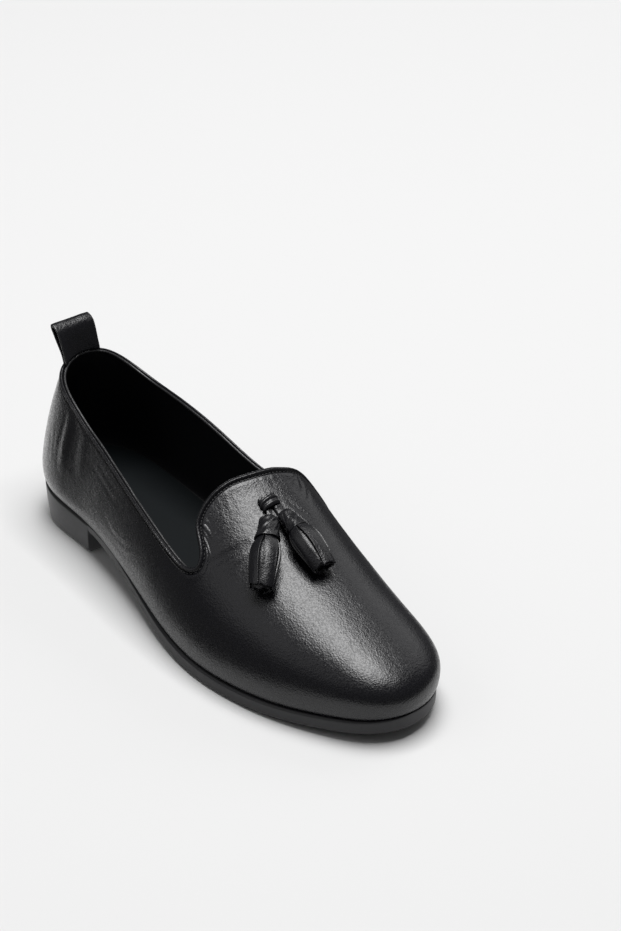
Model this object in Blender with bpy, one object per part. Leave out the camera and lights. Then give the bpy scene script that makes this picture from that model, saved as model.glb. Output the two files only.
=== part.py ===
"""Right shoe of a pair of tassel slippers: unit sole, hollow upper, insole, pull loop and two tassels.

Metres, +Z up. While it is built, x runs from the back of the heel (0) to the toe tip, the outer
(lateral) side of the foot is -y and the inner (medial) side is +y. At the end everything moves so that
the middle of the bottom of the whole box is the origin. A share is a part of the length counted from the
heel, and a turn is the same place as an angle, 0 at the heel and pi at the toe, which spaces stations
closely round both ends.
"""

import math

import bmesh
import bpy
import numpy as np

for leftover in list(bpy.data.objects):
    bpy.data.objects.remove(leftover, do_unlink=True)

MM = 0.001

# Main sizes of the shoe
LENGTH = 258 * MM
HEEL_END_RADIUS = 30 * MM
TOE_END_RADIUS_LATERAL = 26 * MM
TOE_END_RADIUS_MEDIAL = 30 * MM
WALL = 2.0 * MM
GAP = 0.3 * MM
HEEL_LEAN = 12.0 * MM
HEEL_LEAN_HEIGHT = 50 * MM
HEEL_LEAN_POWER = 1.2
HEEL_LEAN_SHARE = 0.25
NOSE_SHARE = 0.70
NOSE_POWER = 2.2

# Sections of the last in millimetres, heel to toe. lateral and medial are half widths at the widest line,
# ledge is how far the sole's edge stands out beyond that line, tuck how far the upper draws in under it,
# seat the height of the sole's top, belly the rise from there to the widest line, crown the height of the
# ridge, ridge its shift to the medial side, and round the power of each side.
SECTION_COLUMNS = ("share", "lateral", "medial", "ledge_lateral", "ledge_medial", "tuck", "seat", "belly",
                   "crown", "ridge", "round_lateral", "round_medial")
SECTIONS = (
    (0.00, 0.0, 0.0, -1.0, -1.0, 3.0, 18.5, 10.0, 101.0, 0.0, 1.80, 1.80),
    (0.06, 25.4, 24.8, -1.2, -1.2, 3.0, 17.5, 9.5, 101.0, 0.0, 1.80, 1.80),
    (0.17, 29.8, 28.8, -1.8, -1.8, 2.8, 16.5, 9.0, 103.0, 1.0, 1.95, 1.95),
    (0.30, 33.6, 29.5, -2.6, -2.6, 3.4, 14.5, 9.0, 102.0, 3.0, 2.00, 2.05),
    (0.42, 39.8, 31.0, -1.4, -2.6, 3.0, 11.5, 8.5, 92.5, 6.0, 2.00, 2.30),
    (0.54, 46.0, 36.0, -0.2, -1.6, 2.0, 8.4, 7.5, 77.2, 8.5, 2.00, 2.65),
    (0.64, 48.2, 39.2, 0.3, -0.2, 1.5, 7.0, 6.5, 63.6, 7.8, 2.05, 2.42),
    (0.74, 45.5, 39.6, 0.4, 0.0, 1.5, 7.0, 6.5, 52.5, 5.0, 2.15, 2.12),
    (0.84, 38.0, 36.6, 0.2, -0.4, 1.6, 8.2, 7.0, 45.4, 3.0, 2.20, 2.12),
    (0.93, 26.6, 29.4, -0.4, -1.2, 2.0, 10.4, 7.5, 41.6, 1.0, 2.20, 2.20),
    (1.00, 0.0, 0.0, -1.2, -1.4, 2.2, 12.4, 8.0, 39.5, 0.0, 2.20, 2.20),
)

# Lines of the upper from the heel round to the toe. lines counts the grid lines since the row before, foot
# is the share where a line starts at the sole, and top_share and top_angle (degrees from the ridge) are
# where it meets the topline.
LINE_COLUMNS = ("lines", "foot", "top_share", "top_angle")
LATERAL_LINES = (
    (0, 0.000, 0.000, 44.9),
    (4, 0.034, 0.034, 46.8),
    (3, 0.100, 0.100, 51.0),
    (5, 0.210, 0.205, 59.5),
    (5, 0.340, 0.338, 63.8),
    (5, 0.460, 0.456, 63.2),
    (4, 0.550, 0.541, 61.1),
    (3, 0.590, 0.5745, 58.6),
    (2, 0.615, 0.5905, 54.8),
    (2, 0.640, 0.5876, 50.3),
    (3, 0.680, 0.5640, 46.0),
    (3, 0.725, 0.5436, 42.0),
    (3, 0.780, 0.5350, 32.5),
    (5, 0.880, 0.5392, 17.0),
    (8, 1.000, 0.5485, 0.0),
)
MEDIAL_LINES = (
    (0, 0.000, 0.000, 44.9),
    (4, 0.034, 0.034, 47.6),
    (3, 0.100, 0.100, 54.9),
    (5, 0.210, 0.205, 59.7),
    (5, 0.340, 0.340, 62.8),
    (5, 0.460, 0.456, 65.8),
    (4, 0.550, 0.546, 64.5),
    (3, 0.590, 0.5800, 61.5),
    (2, 0.615, 0.5965, 57.4),
    (2, 0.640, 0.5945, 52.4),
    (3, 0.680, 0.5810, 45.8),
    (3, 0.725, 0.5675, 39.6),
    (3, 0.780, 0.5605, 31.0),
    (5, 0.880, 0.5580, 16.5),
    (8, 1.000, 0.5485, 0.0),
)
# A line runs round the girth where it starts behind the first share, and beyond the second it bends so
# that it leaves the sole upright and meets the topline squarely; GIRTH_RADIUS weighs across against along
POLAR_SHARE = 0.44
BENT_SHARE = 0.60
GIRTH_RADIUS = 47 * MM
LEAVE = 0.35
ARRIVE = 0.28
CLIMB_STEPS = 161
# Rows of the upper: turns below the widest line in degrees, shares of the way up, and the turned edge
BELLY_TURNS = (80.0, 52.0, 24.0)
CLIMB_SHARES = (0.0, 0.06, 0.13, 0.22, 0.33, 0.46, 0.60, 0.74, 0.88, 1.0)
EDGE_CLEAR = 5.0 * MM
EDGE_COLUMNS = ("inset", "lift")
EDGE_ROWS = ((3.4, 0.0), (2.4, 0.05), (1.3, 0.85), (0.0, 0.35))

# Underside of the unit sole ahead of the heel: heights by share in millimetres, flat under the ball
UNDER_COLUMNS = ("share", "height")
UNDER = ((0.21, 10.2), (0.30, 9.2), (0.40, 6.6), (0.50, 2.9), (0.57, 0.5), (0.62, 0.0), (0.72, 0.0),
         (0.80, 0.7), (0.90, 2.7), (1.0, 5.0))
FLAT_START = 0.60
FLAT_END = 0.73
HEEL_FRONT = 55 * MM
HEEL_TAPER = 1.0 * MM
HEEL_TAPER_BACK = 1.6 * MM
HEEL_FADE_SHARE = 0.12
BACK_FADE_SHARE = 0.10
EDGE_ROUND = 1.0 * MM
# Rings of the sole's wall: how far down its middle ring is, and the share of the taper there and at its foot
WALL_MIDDLE = 0.45
MIDDLE_TAPER = 0.35
FOOT_TAPER = 0.9
SOLE_STATIONS = 46
STATION_CLEAR = 0.03
STATION_PAIR = 0.003

# Insole
INSOLE_THICKNESS = 2.6 * MM
INSOLE_CLEARANCE = 0.6 * MM
INSOLE_STATIONS = 40

# Heel pull loop: a strap folded to a drop-shaped loop, its eye placed by shares of the loop's height
LOOP_WIDTH = 20.6 * MM
LOOP_MIDDLE = -2.2 * MM
LOOP_HEIGHT = 15.6 * MM
LOOP_STRAP = 1.5 * MM
LOOP_LEAN = 8.0 * MM
LOOP_LEAN_POWER = 1.3
LOOP_BULGE = 2.4 * MM
LOOP_BULGE_POWER = 1.2
LOOP_TAPER_POWER = 4
LOOP_TOP_POWER = 6
LOOP_EYE_SHARE = 0.60
LOOP_EYE_REACH = 0.27
LOOP_EYE_HALF = 1.2 * MM
LOOP_STEPS = 14
LOOP_STOPS = 9

# Tassels: keeper place on the vamp, headings from straight ahead (minus is to the lateral side), and the
# girths along one tassel in millimetres: distance from the thong's bend, half width, half height and depth
# of the strips' lobes. In plan a tassel is shorter by TASSEL_SLOPE, because the vamp falls away.
KEEPER_X = 156.1 * MM
KEEPER_Y = -0.6 * MM
KEEPER_HALF_WIDTH = 5.0 * MM
KEEPER_TUNNEL_HALF = 4.2 * MM
KEEPER_HEIGHT = 3.2 * MM
KEEPER_ROOF = 1.2 * MM
KEEPER_LENGTH = 5.8 * MM
KEEPER_SWELL = 0.10
KEEPER_ROUND = 0.6
KEEPER_TUNNEL_ROUND = 0.35
KEEPER_STEPS = 12
KEEPER_STOPS = 7
THONG_WIDTH = 2.6 * MM
THONG_THICKNESS = 1.2 * MM
THONG_SPACING = 2.3 * MM
THONG_BEND = 3.6 * MM
THONG_TURN = 1.2 * MM
THONG_TAIL = 0.6 * MM
THONG_END = 3.2 * MM
TASSEL_HEADINGS = {"lateral": -40.4, "medial": -3.2}
TASSEL_PHASES = {"lateral": 0.4, "medial": 1.3}
TASSEL_SLOPE = 0.86
TASSEL_CLEARANCE = 0.5 * MM
TASSEL_COLUMNS = ("distance", "half_width", "half_height", "lobe")
TASSEL_ROWS = (
    (4.4, 1.8, 1.6, 0.00),
    (5.0, 2.7, 2.3, 0.00),
    (7.5, 3.6, 3.1, 0.00),
    (11.0, 4.7, 3.9, 0.00),
    (14.6, 5.5, 4.5, 0.00),
    (15.2, 5.2, 4.1, 0.02),
    (18.0, 5.7, 4.5, 0.06),
    (22.5, 6.6, 5.1, 0.10),
    (27.5, 6.9, 5.2, 0.11),
    (33.0, 6.6, 4.8, 0.12),
    (37.5, 6.4, 4.5, 0.12),
    (39.8, 6.1, 4.2, 0.12),
)
TASSEL_STRIPS = 5
TASSEL_LOBE_MIDDLE = 0.6
TASSEL_LOBE_LIFT = 0.4
TASSEL_SIDES = 36
TASSEL_UNEVEN = 1.1 * MM


def material(name, colour, roughness):
    """A plain surface for one kind of stuff."""
    made = bpy.data.materials.new(name)
    made.use_nodes = True
    shader = made.node_tree.nodes["Principled BSDF"]
    shader.inputs["Base Color"].default_value = (*colour, 1.0)
    shader.inputs["Roughness"].default_value = roughness
    return made


LEATHER = material("black_leather", (0.018, 0.018, 0.019), 0.38)
RUBBER = material("dark_rubber", (0.045, 0.045, 0.047), 0.55)
LINING = material("insole_lining", (0.022, 0.027, 0.029), 0.5)


def column(table, names, name):
    """One named column of a table as an array."""
    return np.array([row[names.index(name)] for row in table], float)


def spline(knots, values):
    """A natural cubic curve through the knots, as a function."""
    count = len(knots)
    step = np.diff(knots)
    system = np.eye(count)
    right = np.zeros(count)
    for i in range(1, count - 1):
        system[i, i - 1:i + 2] = step[i - 1], 2 * (step[i - 1] + step[i]), step[i]
        right[i] = 6 * ((values[i + 1] - values[i]) / step[i] - (values[i] - values[i - 1]) / step[i - 1])
    bend = np.linalg.solve(system, right)

    def at(place):
        place = np.asarray(place, float)
        i = np.clip(np.searchsorted(knots, place, side="right") - 1, 0, count - 2)
        before = knots[i + 1] - place
        after = place - knots[i]
        width = step[i]
        curved = (bend[i] * before**3 + bend[i + 1] * after**3) / (6 * width)
        first = (values[i] / width - bend[i] * width / 6) * before
        second = (values[i + 1] / width - bend[i + 1] * width / 6) * after
        return curved + first + second

    return at


def smooth_step(low, high, value):
    """0 below low, 1 above high, smooth between."""
    part = np.clip((value - low) / (high - low), 0.0, 1.0)
    return part * part * (3 - 2 * part)


def share_of(turn):
    return (1 - np.cos(turn)) / 2


def turn_of(share):
    return np.arccos(np.clip(1 - 2 * np.asarray(share, float), -1.0, 1.0))


SHARES = column(SECTIONS, SECTION_COLUMNS, "share")


def section(name, unit=MM):
    """The curve of one column of the section table."""
    return spline(SHARES, column(SECTIONS, SECTION_COLUMNS, name) * unit)


def width_factor(name, toe_radius):
    """Half width divided by the sine of the turn, so that both ends close to the given radii."""
    widths = column(SECTIONS, SECTION_COLUMNS, name) * MM
    factors = np.zeros(len(widths))
    factors[0] = math.sqrt(HEEL_END_RADIUS * LENGTH / 2)
    factors[-1] = math.sqrt(toe_radius * LENGTH / 2)
    factors[1:-1] = widths[1:-1] / np.sin(turn_of(SHARES[1:-1]))
    return spline(SHARES, factors)


WIDTH = {-1: width_factor("lateral", TOE_END_RADIUS_LATERAL),
         1: width_factor("medial", TOE_END_RADIUS_MEDIAL)}
LEDGE = {-1: section("ledge_lateral"), 1: section("ledge_medial")}
ROUND = {-1: section("round_lateral", 1.0), 1: section("round_medial", 1.0)}
SEAT = section("seat")
BELLY = section("belly")
TUCK = section("tuck")
CROWN = section("crown")
RIDGE = section("ridge")


def seat_height(x):
    """Height of the sole's top at a place along the shoe."""
    return SEAT(np.clip(np.asarray(x, float) / LENGTH, 0.0, 1.0))


def half_width(turn, side):
    return WIDTH[side](share_of(turn)) * np.sin(turn)


def outline(turn, side, offset):
    """Plan point of the widest line at a turn, moved outwards by an offset."""
    turn = np.asarray(turn, float)
    nudge = 1e-4
    along = LENGTH / 2 * np.sin(turn)
    spread = (half_width(turn + nudge, side) - half_width(turn - nudge, side)) / (2 * nudge)
    size = np.hypot(along, spread)
    x = LENGTH * share_of(turn) - spread / size * offset
    y = side * (half_width(turn, side) + along / size * offset)
    return x, y


def rise(share):
    """Height of the ridge over the widest line, closing to nothing at the toe."""
    forward = np.clip((share - NOSE_SHARE) / (1 - NOSE_SHARE), 0.0, 1.0)
    nose = (1 - forward**NOSE_POWER) ** (1 / NOSE_POWER)
    return (CROWN(share) - SEAT(share) - BELLY(share)) * nose


def skin(share, angle, side):
    """Point of the upper's outer skin at a share and an angle from the ridge (radians, never negative)."""
    share = np.clip(share, 0.0, 1.0)
    power = 2 / ROUND[side](share)
    out = np.abs(np.sin(angle)) ** power
    up = np.abs(np.cos(angle)) ** power
    ridge = RIDGE(share)
    y = ridge * (1 - out) + side * half_width(turn_of(share), side) * out
    climb = rise(share) * up
    fade = np.clip(1 - share / HEEL_LEAN_SHARE, 0.0, 1.0) ** 2
    lean = HEEL_LEAN * (climb / HEEL_LEAN_HEIGHT) ** HEEL_LEAN_POWER * fade
    return np.stack([share * LENGTH + lean, y, SEAT(share) + BELLY(share) + climb], -1)


def vamp_height(x, y):
    """Height of the outer skin over a plan point of the vamp."""
    share = x / LENGTH
    ridge = float(RIDGE(share))
    side = -1 if y < ridge else 1
    edge = side * float(half_width(turn_of(share), side))
    power = float(ROUND[side](share))
    part = min(abs((y - ridge) / (edge - ridge)), 1.0)
    return float(SEAT(share) + BELLY(share) + rise(share) * (1 - part**power) ** (1 / power))


def vamp_frame(x, y):
    """Point on the vamp and its outward normal."""
    d = 0.5 * MM
    slope_x = (vamp_height(x + d, y) - vamp_height(x - d, y)) / (2 * d)
    slope_y = (vamp_height(x, y + d) - vamp_height(x, y - d)) / (2 * d)
    normal = np.array([-slope_x, -slope_y, 1.0])
    return np.array([x, y, vamp_height(x, y)]), normal / np.linalg.norm(normal)


def make(name, points, faces, stuff):
    """A mesh object facing outwards."""
    mesh = bpy.data.meshes.new(name)
    mesh.from_pydata([tuple(map(float, p)) for p in points], [], faces)
    body = bmesh.new()
    body.from_mesh(mesh)
    bmesh.ops.recalc_face_normals(body, faces=body.faces)
    body.to_mesh(mesh)
    body.free()
    made = bpy.data.objects.new(name, mesh)
    made.data.materials.append(stuff)
    bpy.context.collection.objects.link(made)


def ring_faces(rings, count):
    """Quads between successive rings of equally many points, numbered ring after ring."""
    faces = []
    for r in range(rings - 1):
        for c in range(count):
            n = (c + 1) % count
            faces.append((r * count + c, r * count + n, (r + 1) * count + n, (r + 1) * count + c))
    return faces


def line_table(table):
    """Foot turn, top share and top angle of every grid line of one side."""
    counts = np.cumsum(column(table, LINE_COLUMNS, "lines"))
    places = np.arange(int(counts[-1]) + 1, dtype=float)
    foot = spline(counts, turn_of(column(table, LINE_COLUMNS, "foot")))(places)
    share = share_of(spline(counts, turn_of(column(table, LINE_COLUMNS, "top_share")))(places))
    angle = spline(counts, np.radians(column(table, LINE_COLUMNS, "top_angle")))(places)
    foot[0] = share[0] = angle[-1] = 0.0
    foot[-1] = math.pi
    return foot, share, angle


def plan_place(share, angle):
    """A place of the skin in a flat half plane with the toe tip at its origin: across, along."""
    return np.stack([(1 - share) * np.sin(angle), (1 - share) * np.cos(angle)], -1)


def square_to(share, angle):
    """The direction in the half plane in which each line of one side leaves the topline squarely."""
    tops = plan_place(share, angle)
    mirrored = tops[-2] * np.array([-1.0, 1.0])
    longer = np.vstack([tops[0] - (tops[1] - tops[0]), tops, mirrored])
    run = longer[2:] - longer[:-2]
    reach = np.linalg.norm(tops, axis=1, keepdims=True)
    out = tops / reach
    turn = np.stack([out[:, 1], -out[:, 0]], -1)
    weigh = GIRTH_RADIUS / (reach[:, 0] * LENGTH)
    run_out = (run * out).sum(axis=1)
    run_turn = (run * turn).sum(axis=1)
    square = out * (weigh * run_turn)[:, None] - turn * (run_out / weigh)[:, None]
    return square / np.linalg.norm(square, axis=1, keepdims=True)


def climb_line(foot, top_share, top_angle, side, square):
    """Fine line on the skin from the widest line at a foot turn up to the topline."""
    part = np.linspace(0.0, 1.0, CLIMB_STEPS)
    reach = (1 - share_of(foot)) + (share_of(foot) - top_share) * part
    angle = math.pi / 2 + (top_angle - math.pi / 2) * part
    girth = np.stack([reach * np.sin(angle), reach * np.cos(angle)], -1)
    start = np.array([1 - share_of(foot), 0.0])
    end = plan_place(top_share, top_angle)
    span = np.linalg.norm(end - start)
    leave = start + np.array([0.0, LEAVE * span])
    arrive = end + square * ARRIVE * span
    t = part[:, None]
    bent = start * (1 - t) ** 3 + 3 * leave * t * (1 - t) ** 2 + 3 * arrive * t**2 * (1 - t) + end * t**3
    share = smooth_step(POLAR_SHARE, BENT_SHARE, share_of(foot))
    place = girth * (1 - share) + bent * share
    return skin(1 - np.hypot(place[:, 0], place[:, 1]), np.arctan2(place[:, 0], place[:, 1]), side)


def along_line(line):
    """Rows of one line: shares of its lower part, then the turned edge counted back from the topline."""
    steps = np.diff(line, axis=0)
    length = np.concatenate([[0.0], np.cumsum(np.linalg.norm(steps, axis=1))])
    lower = np.asarray(CLIMB_SHARES) * (length[-1] - EDGE_CLEAR)
    edge = length[-1] - column(EDGE_ROWS, EDGE_COLUMNS, "inset") * MM
    wanted = np.concatenate([lower, edge])
    return np.stack([np.interp(wanted, length, line[:, k]) for k in range(3)], -1)


def grid_normals(grid):
    """Outward normals of a grid of rows by columns, its columns closed to a ring."""
    across = np.roll(grid, -1, axis=1) - np.roll(grid, 1, axis=1)
    up = np.gradient(grid, axis=0)
    normal = np.cross(across, up)
    return normal / np.linalg.norm(normal, axis=2, keepdims=True)


def build_upper():
    columns = []
    for table, side in ((LATERAL_LINES, -1), (MEDIAL_LINES, 1)):
        feet, shares, angles = line_table(table)
        one_side = []
        for foot, share, angle, square in zip(feet, shares, angles, square_to(shares, angles)):
            rows = []
            for degrees in BELLY_TURNS:
                turned = math.radians(degrees)
                low = math.sin(turned) / math.sin(math.radians(BELLY_TURNS[0]))
                x, y = outline(foot, side, -float(TUCK(share_of(foot))) * (1 - math.cos(turned)))
                seat = float(seat_height(x)) + GAP
                widest = float(SEAT(share_of(foot)) + BELLY(share_of(foot)))
                rows.append((float(x), float(y), widest + (seat - widest) * low))
            rows.extend(along_line(climb_line(foot, share, angle, side, square)))
            one_side.append(rows)
        columns.append(one_side)
    whole = np.array(columns[0] + columns[1][-2:0:-1]).transpose(1, 0, 2)
    normal = grid_normals(whole)
    # The turned edge: the outer face is lifted near the topline
    lift = column(EDGE_ROWS, EDGE_COLUMNS, "lift") * MM
    lifts = np.concatenate([np.zeros(len(whole) - len(lift)), lift])
    outer = whole + normal * lifts[:, None, None]
    flat = normal[0] * np.array([1.0, 1.0, 0.0])
    normal[0] = flat / np.linalg.norm(flat, axis=1, keepdims=True)
    inner = whole - normal * WALL
    inner[0, :, 2] = seat_height(inner[0, :, 0]) + GAP
    rows, count = whole.shape[:2]
    points = np.concatenate([outer.reshape(-1, 3), inner[::-1].reshape(-1, 3)])
    faces = ring_faces(2 * rows, count)
    first = (2 * rows - 1) * count
    for c in range(count):
        n = (c + 1) % count
        faces.append((first + c, first + n, n, c))
    make("upper", points, faces, LEATHER)
    return outer, inner


def sole_turns():
    """Turns of the sole's stations, with a close pair at the front of the heel."""
    even = np.linspace(0.0, math.pi, SOLE_STATIONS + 1)
    front = float(turn_of(HEEL_FRONT / LENGTH))
    kept = [t for t in even if abs(t - front) > STATION_CLEAR]
    return np.array(sorted(kept + [front, front + STATION_PAIR]))


def sole_bottom(turn, heel_end):
    """Height of the sole's underside at a station."""
    share = float(share_of(turn))
    if turn <= heel_end or FLAT_START <= share <= FLAT_END:
        return 0.0
    height = spline(column(UNDER, UNDER_COLUMNS, "share"), column(UNDER, UNDER_COLUMNS, "height") * MM)
    return max(float(height(share)), 0.0)


def build_sole():
    turns = sole_turns()
    heel_end = float(turn_of(HEEL_FRONT / LENGTH)) + 1e-6
    around = [(t, -1) for t in turns] + [(t, 1) for t in turns[-2:0:-1]]
    rings = [[], [], [], []]
    for turn, side in around:
        share = float(share_of(turn))
        ledge = float(LEDGE[side](share))
        bottom = sole_bottom(turn, heel_end)
        x, y = outline(turn, side, ledge)
        top = float(seat_height(x))
        heel = float(1 - smooth_step(HEEL_FRONT / LENGTH, HEEL_FRONT / LENGTH + HEEL_FADE_SHARE, share))
        back = float(1 - smooth_step(0.0, BACK_FADE_SHARE, share))
        taper = heel * HEEL_TAPER + back * HEEL_TAPER_BACK
        levels = ((0.0, 0.0), (WALL_MIDDLE, MIDDLE_TAPER * taper), (None, FOOT_TAPER * taper),
                  (1.0, taper + EDGE_ROUND))
        for ring, (level, inset) in zip(rings, levels):
            x, y = outline(turn, side, ledge - inset)
            z = bottom + EDGE_ROUND if level is None else top + (bottom - top) * level
            ring.append((float(x), float(y), z))
    count = len(around)
    points = [p for ring in rings for p in ring]
    faces = ring_faces(len(rings), count)
    last = len(turns) - 1
    for start in (0, (len(rings) - 1) * count):
        for i in range(last):
            near_a, near_b = start + i, start + i + 1
            far_a, far_b = start + (count - i) % count, start + (count - i - 1) % count
            face = [near_a, near_b, far_b, far_a]
            faces.append(tuple(dict.fromkeys(face)))
    make("unit_sole", points, faces, RUBBER)


def build_insole():
    turns = np.linspace(0.0, math.pi, INSOLE_STATIONS + 1)
    around = [(t, -1) for t in turns] + [(t, 1) for t in turns[-2:0:-1]]
    low, high = [], []
    for turn, side in around:
        x, y = outline(turn, side, -(float(TUCK(share_of(turn))) + WALL + INSOLE_CLEARANCE))
        seat = float(seat_height(x))
        low.append((float(x), float(y), seat + GAP))
        high.append((float(x), float(y), seat + GAP + INSOLE_THICKNESS))
    count = len(around)
    faces = ring_faces(2, count)
    last = len(turns) - 1
    for start in (0, count):
        for i in range(last):
            far_a, far_b = start + (count - i) % count, start + (count - i - 1) % count
            faces.append(tuple(dict.fromkeys((start + i, start + i + 1, far_b, far_a))))
    make("insole", low + high, faces, LINING)


def build_pull_loop(outer, inner):
    """A strap loop of drop-shaped section standing on the topline at the back of the heel."""
    heel = np.flatnonzero((np.abs(outer[-1, :, 1]) < LOOP_WIDTH) & (outer[-1, :, 0] < LENGTH / 4))
    heel = heel[np.argsort(outer[-1, heel, 1])]
    middle = (outer[-1, heel] + inner[-1, heel]) / 2
    top = np.maximum(outer[-1, heel, 2], inner[-1, heel, 2])
    rim = []
    for i in range(LOOP_STEPS + 1):
        up = math.sin(math.pi / 2 * i / LOOP_STEPS)
        bulge = LOOP_BULGE * math.sin(math.pi * up**LOOP_BULGE_POWER)
        thick = LOOP_STRAP * (1 - up**LOOP_TAPER_POWER) + bulge
        rim.append((thick * math.sqrt(1 - up**LOOP_TOP_POWER), up * LOOP_HEIGHT))
    rim += [(-d, h) for d, h in rim[-2::-1]]
    hole = []
    for d, h in rim:
        a = math.atan2(h - LOOP_HEIGHT * LOOP_EYE_SHARE, d * LOOP_HEIGHT / (2 * LOOP_BULGE))
        height = LOOP_HEIGHT * (LOOP_EYE_SHARE + LOOP_EYE_REACH * math.sin(a))
        hole.append((LOOP_EYE_HALF * math.cos(a), height))
    stops = LOOP_MIDDLE + LOOP_WIDTH * np.linspace(-0.5, 0.5, LOOP_STOPS)
    foot_x = np.interp(stops, middle[:, 1], middle[:, 0])
    foot_z = np.interp(stops, middle[:, 1], top) + GAP
    points = []
    for loop in (rim, hole):
        for k, y in enumerate(stops):
            for d, h in loop:
                part = h / LOOP_HEIGHT
                lean = LOOP_LEAN * part**LOOP_LEAN_POWER
                x = foot_x[k] + (foot_x.mean() - foot_x[k]) * part + d - lean
                points.append((x, y, foot_z[k] + (foot_z.mean() - foot_z[k]) * part + h))
    count = len(rim)
    shift = len(stops) * count
    faces = ring_faces(len(stops), count)
    faces += [tuple(shift + i for i in face) for face in faces]
    for start in (0, (len(stops) - 1) * count):
        for c in range(count):
            n = (c + 1) % count
            faces.append((start + c, start + n, shift + start + n, shift + start + c))
    make("pull_loop", points, faces, LEATHER)


def thong_path(name):
    """Plan points of one thong, from behind the keeper to its tassel."""
    side = -1 if name == "lateral" else 1
    heading = math.radians(TASSEL_HEADINGS[name])
    y = KEEPER_Y + side * THONG_SPACING
    bend = np.array([KEEPER_X + THONG_BEND, y])
    ahead = np.array([math.cos(heading), math.sin(heading)])
    back = np.array([KEEPER_X - KEEPER_LENGTH / 2 - THONG_TAIL, y])
    return back, bend, ahead


def build_thong(name):
    back, bend, ahead = thong_path(name)
    straight = np.array([1.0, 0.0])
    stops = []
    for part in np.linspace(0.0, 1.0, 7):
        stops.append((back + (bend - straight * THONG_TURN - back) * part, straight))
    for part in np.linspace(0.25, 1.0, 4):
        turned = straight * (1 - part) + ahead * part
        place = bend - straight * THONG_TURN * (1 - part) ** 2 + ahead * THONG_TURN * part**2
        stops.append((place, turned / np.linalg.norm(turned)))
    stops.append((bend + ahead * THONG_END, ahead))
    points = []
    for plan, run in stops:
        spot, normal = vamp_frame(*plan)
        across = np.cross(normal, np.array([run[0], run[1], 0.0]))
        across /= np.linalg.norm(across)
        for wide, high in ((-1, 0), (1, 0), (1, 1), (-1, 1)):
            points.append(spot + across * wide * THONG_WIDTH / 2 + normal * (GAP + high * THONG_THICKNESS))
    faces = ring_faces(len(stops), 4)
    faces.append((0, 1, 2, 3))
    faces.append(tuple(range(4 * len(stops) - 4, 4 * len(stops))))
    make("thong_" + name, points, faces, LEATHER)


def build_keeper():
    """A leather bridge over both thongs."""
    arch = []
    for i in range(KEEPER_STEPS + 1):
        a = math.pi * i / KEEPER_STEPS
        arch.append((-KEEPER_HALF_WIDTH * math.cos(a), KEEPER_HEIGHT * math.sin(a) ** KEEPER_ROUND))
    for i in range(KEEPER_STEPS, -1, -1):
        a = math.pi * i / KEEPER_STEPS
        tall = (KEEPER_HEIGHT - KEEPER_ROOF) * math.sin(a) ** KEEPER_TUNNEL_ROUND
        arch.append((-KEEPER_TUNNEL_HALF * math.cos(a), tall))
    points = []
    stops = np.linspace(-0.5, 0.5, KEEPER_STOPS)
    for stop in stops:
        swell = 1 - KEEPER_SWELL * (2 * stop) ** 2
        x = KEEPER_X + stop * KEEPER_LENGTH
        for across, tall in arch:
            spot, normal = vamp_frame(x, KEEPER_Y + across)
            points.append(spot + normal * (GAP + tall * swell))
    count = len(arch)
    faces = ring_faces(len(stops), count)
    faces.append(tuple(range(count)))
    faces.append(tuple(range((len(stops) - 1) * count, len(stops) * count)))
    make("keeper", points, faces, LEATHER)


def build_tassel(name):
    """A wrapped cap and a skirt of broad strips as one solid, lying along the vamp."""
    bend, ahead = thong_path(name)[1:]
    phase = TASSEL_PHASES[name]
    points = []
    for k, (distance, wide, tall, lobe) in enumerate(TASSEL_ROWS):
        for i in range(TASSEL_SIDES):
            a = 2 * math.pi * i / TASSEL_SIDES
            reach = distance * MM
            if k == len(TASSEL_ROWS) - 1:
                reach += TASSEL_UNEVEN * math.cos(3 * a + phase)
            spot, normal = vamp_frame(*(bend + ahead * reach * TASSEL_SLOPE))
            forward = vamp_frame(*(bend + ahead * (reach * TASSEL_SLOPE + 1 * MM)))[0]
            across = np.cross(normal, forward - spot)
            across /= np.linalg.norm(across)
            swell = 1 + lobe * (abs(math.cos(TASSEL_STRIPS * a / 2 + phase)) - TASSEL_LOBE_MIDDLE)
            middle = spot + normal * (tall * MM * (1 + TASSEL_LOBE_LIFT * lobe) + TASSEL_CLEARANCE)
            points.append(middle + (across * wide * math.cos(a) + normal * tall * math.sin(a)) * MM * swell)
    faces = ring_faces(len(TASSEL_ROWS), TASSEL_SIDES)
    faces.append(tuple(range(TASSEL_SIDES)))
    faces.append(tuple(range((len(TASSEL_ROWS) - 1) * TASSEL_SIDES, len(TASSEL_ROWS) * TASSEL_SIDES)))
    make("tassel_" + name, points, faces, LEATHER)


def centre_on_floor():
    """Move every mesh so that the middle of the bottom of the whole box is the origin."""
    every = np.array([v.co[:] for o in bpy.data.objects for v in o.data.vertices])
    low, high = every.min(axis=0), every.max(axis=0)
    shift = -np.array([(low[0] + high[0]) / 2, (low[1] + high[1]) / 2, low[2]])
    for body in bpy.data.objects:
        for v in body.data.vertices:
            v.co = v.co + type(v.co)(shift)


OUTER, INNER = build_upper()
build_sole()
build_insole()
build_pull_loop(OUTER, INNER)
build_keeper()
for which in ("lateral", "medial"):
    build_thong(which)
    build_tassel(which)
centre_on_floor()
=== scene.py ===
"""Looks of a black leather tassel slipper, the right shoe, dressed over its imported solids.

Everything is in metres in the frame of the solids: +X to the toe, +Y to the inner side of the foot, +Z up.
The upper's skin follows the same sections and lines as its solid, on a finer grid of rows and columns, so the
leather, its lining, the edge bead and the stitches all lie on it. The sole, the insole, the keeper and the
thongs start as copies of their solids. The pull loop and the tassels are drawn from profiles of their own, at
the places of their solids.
"""

import math

import bmesh
import bpy
import numpy as np
from mathutils import Matrix, Vector, noise


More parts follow.
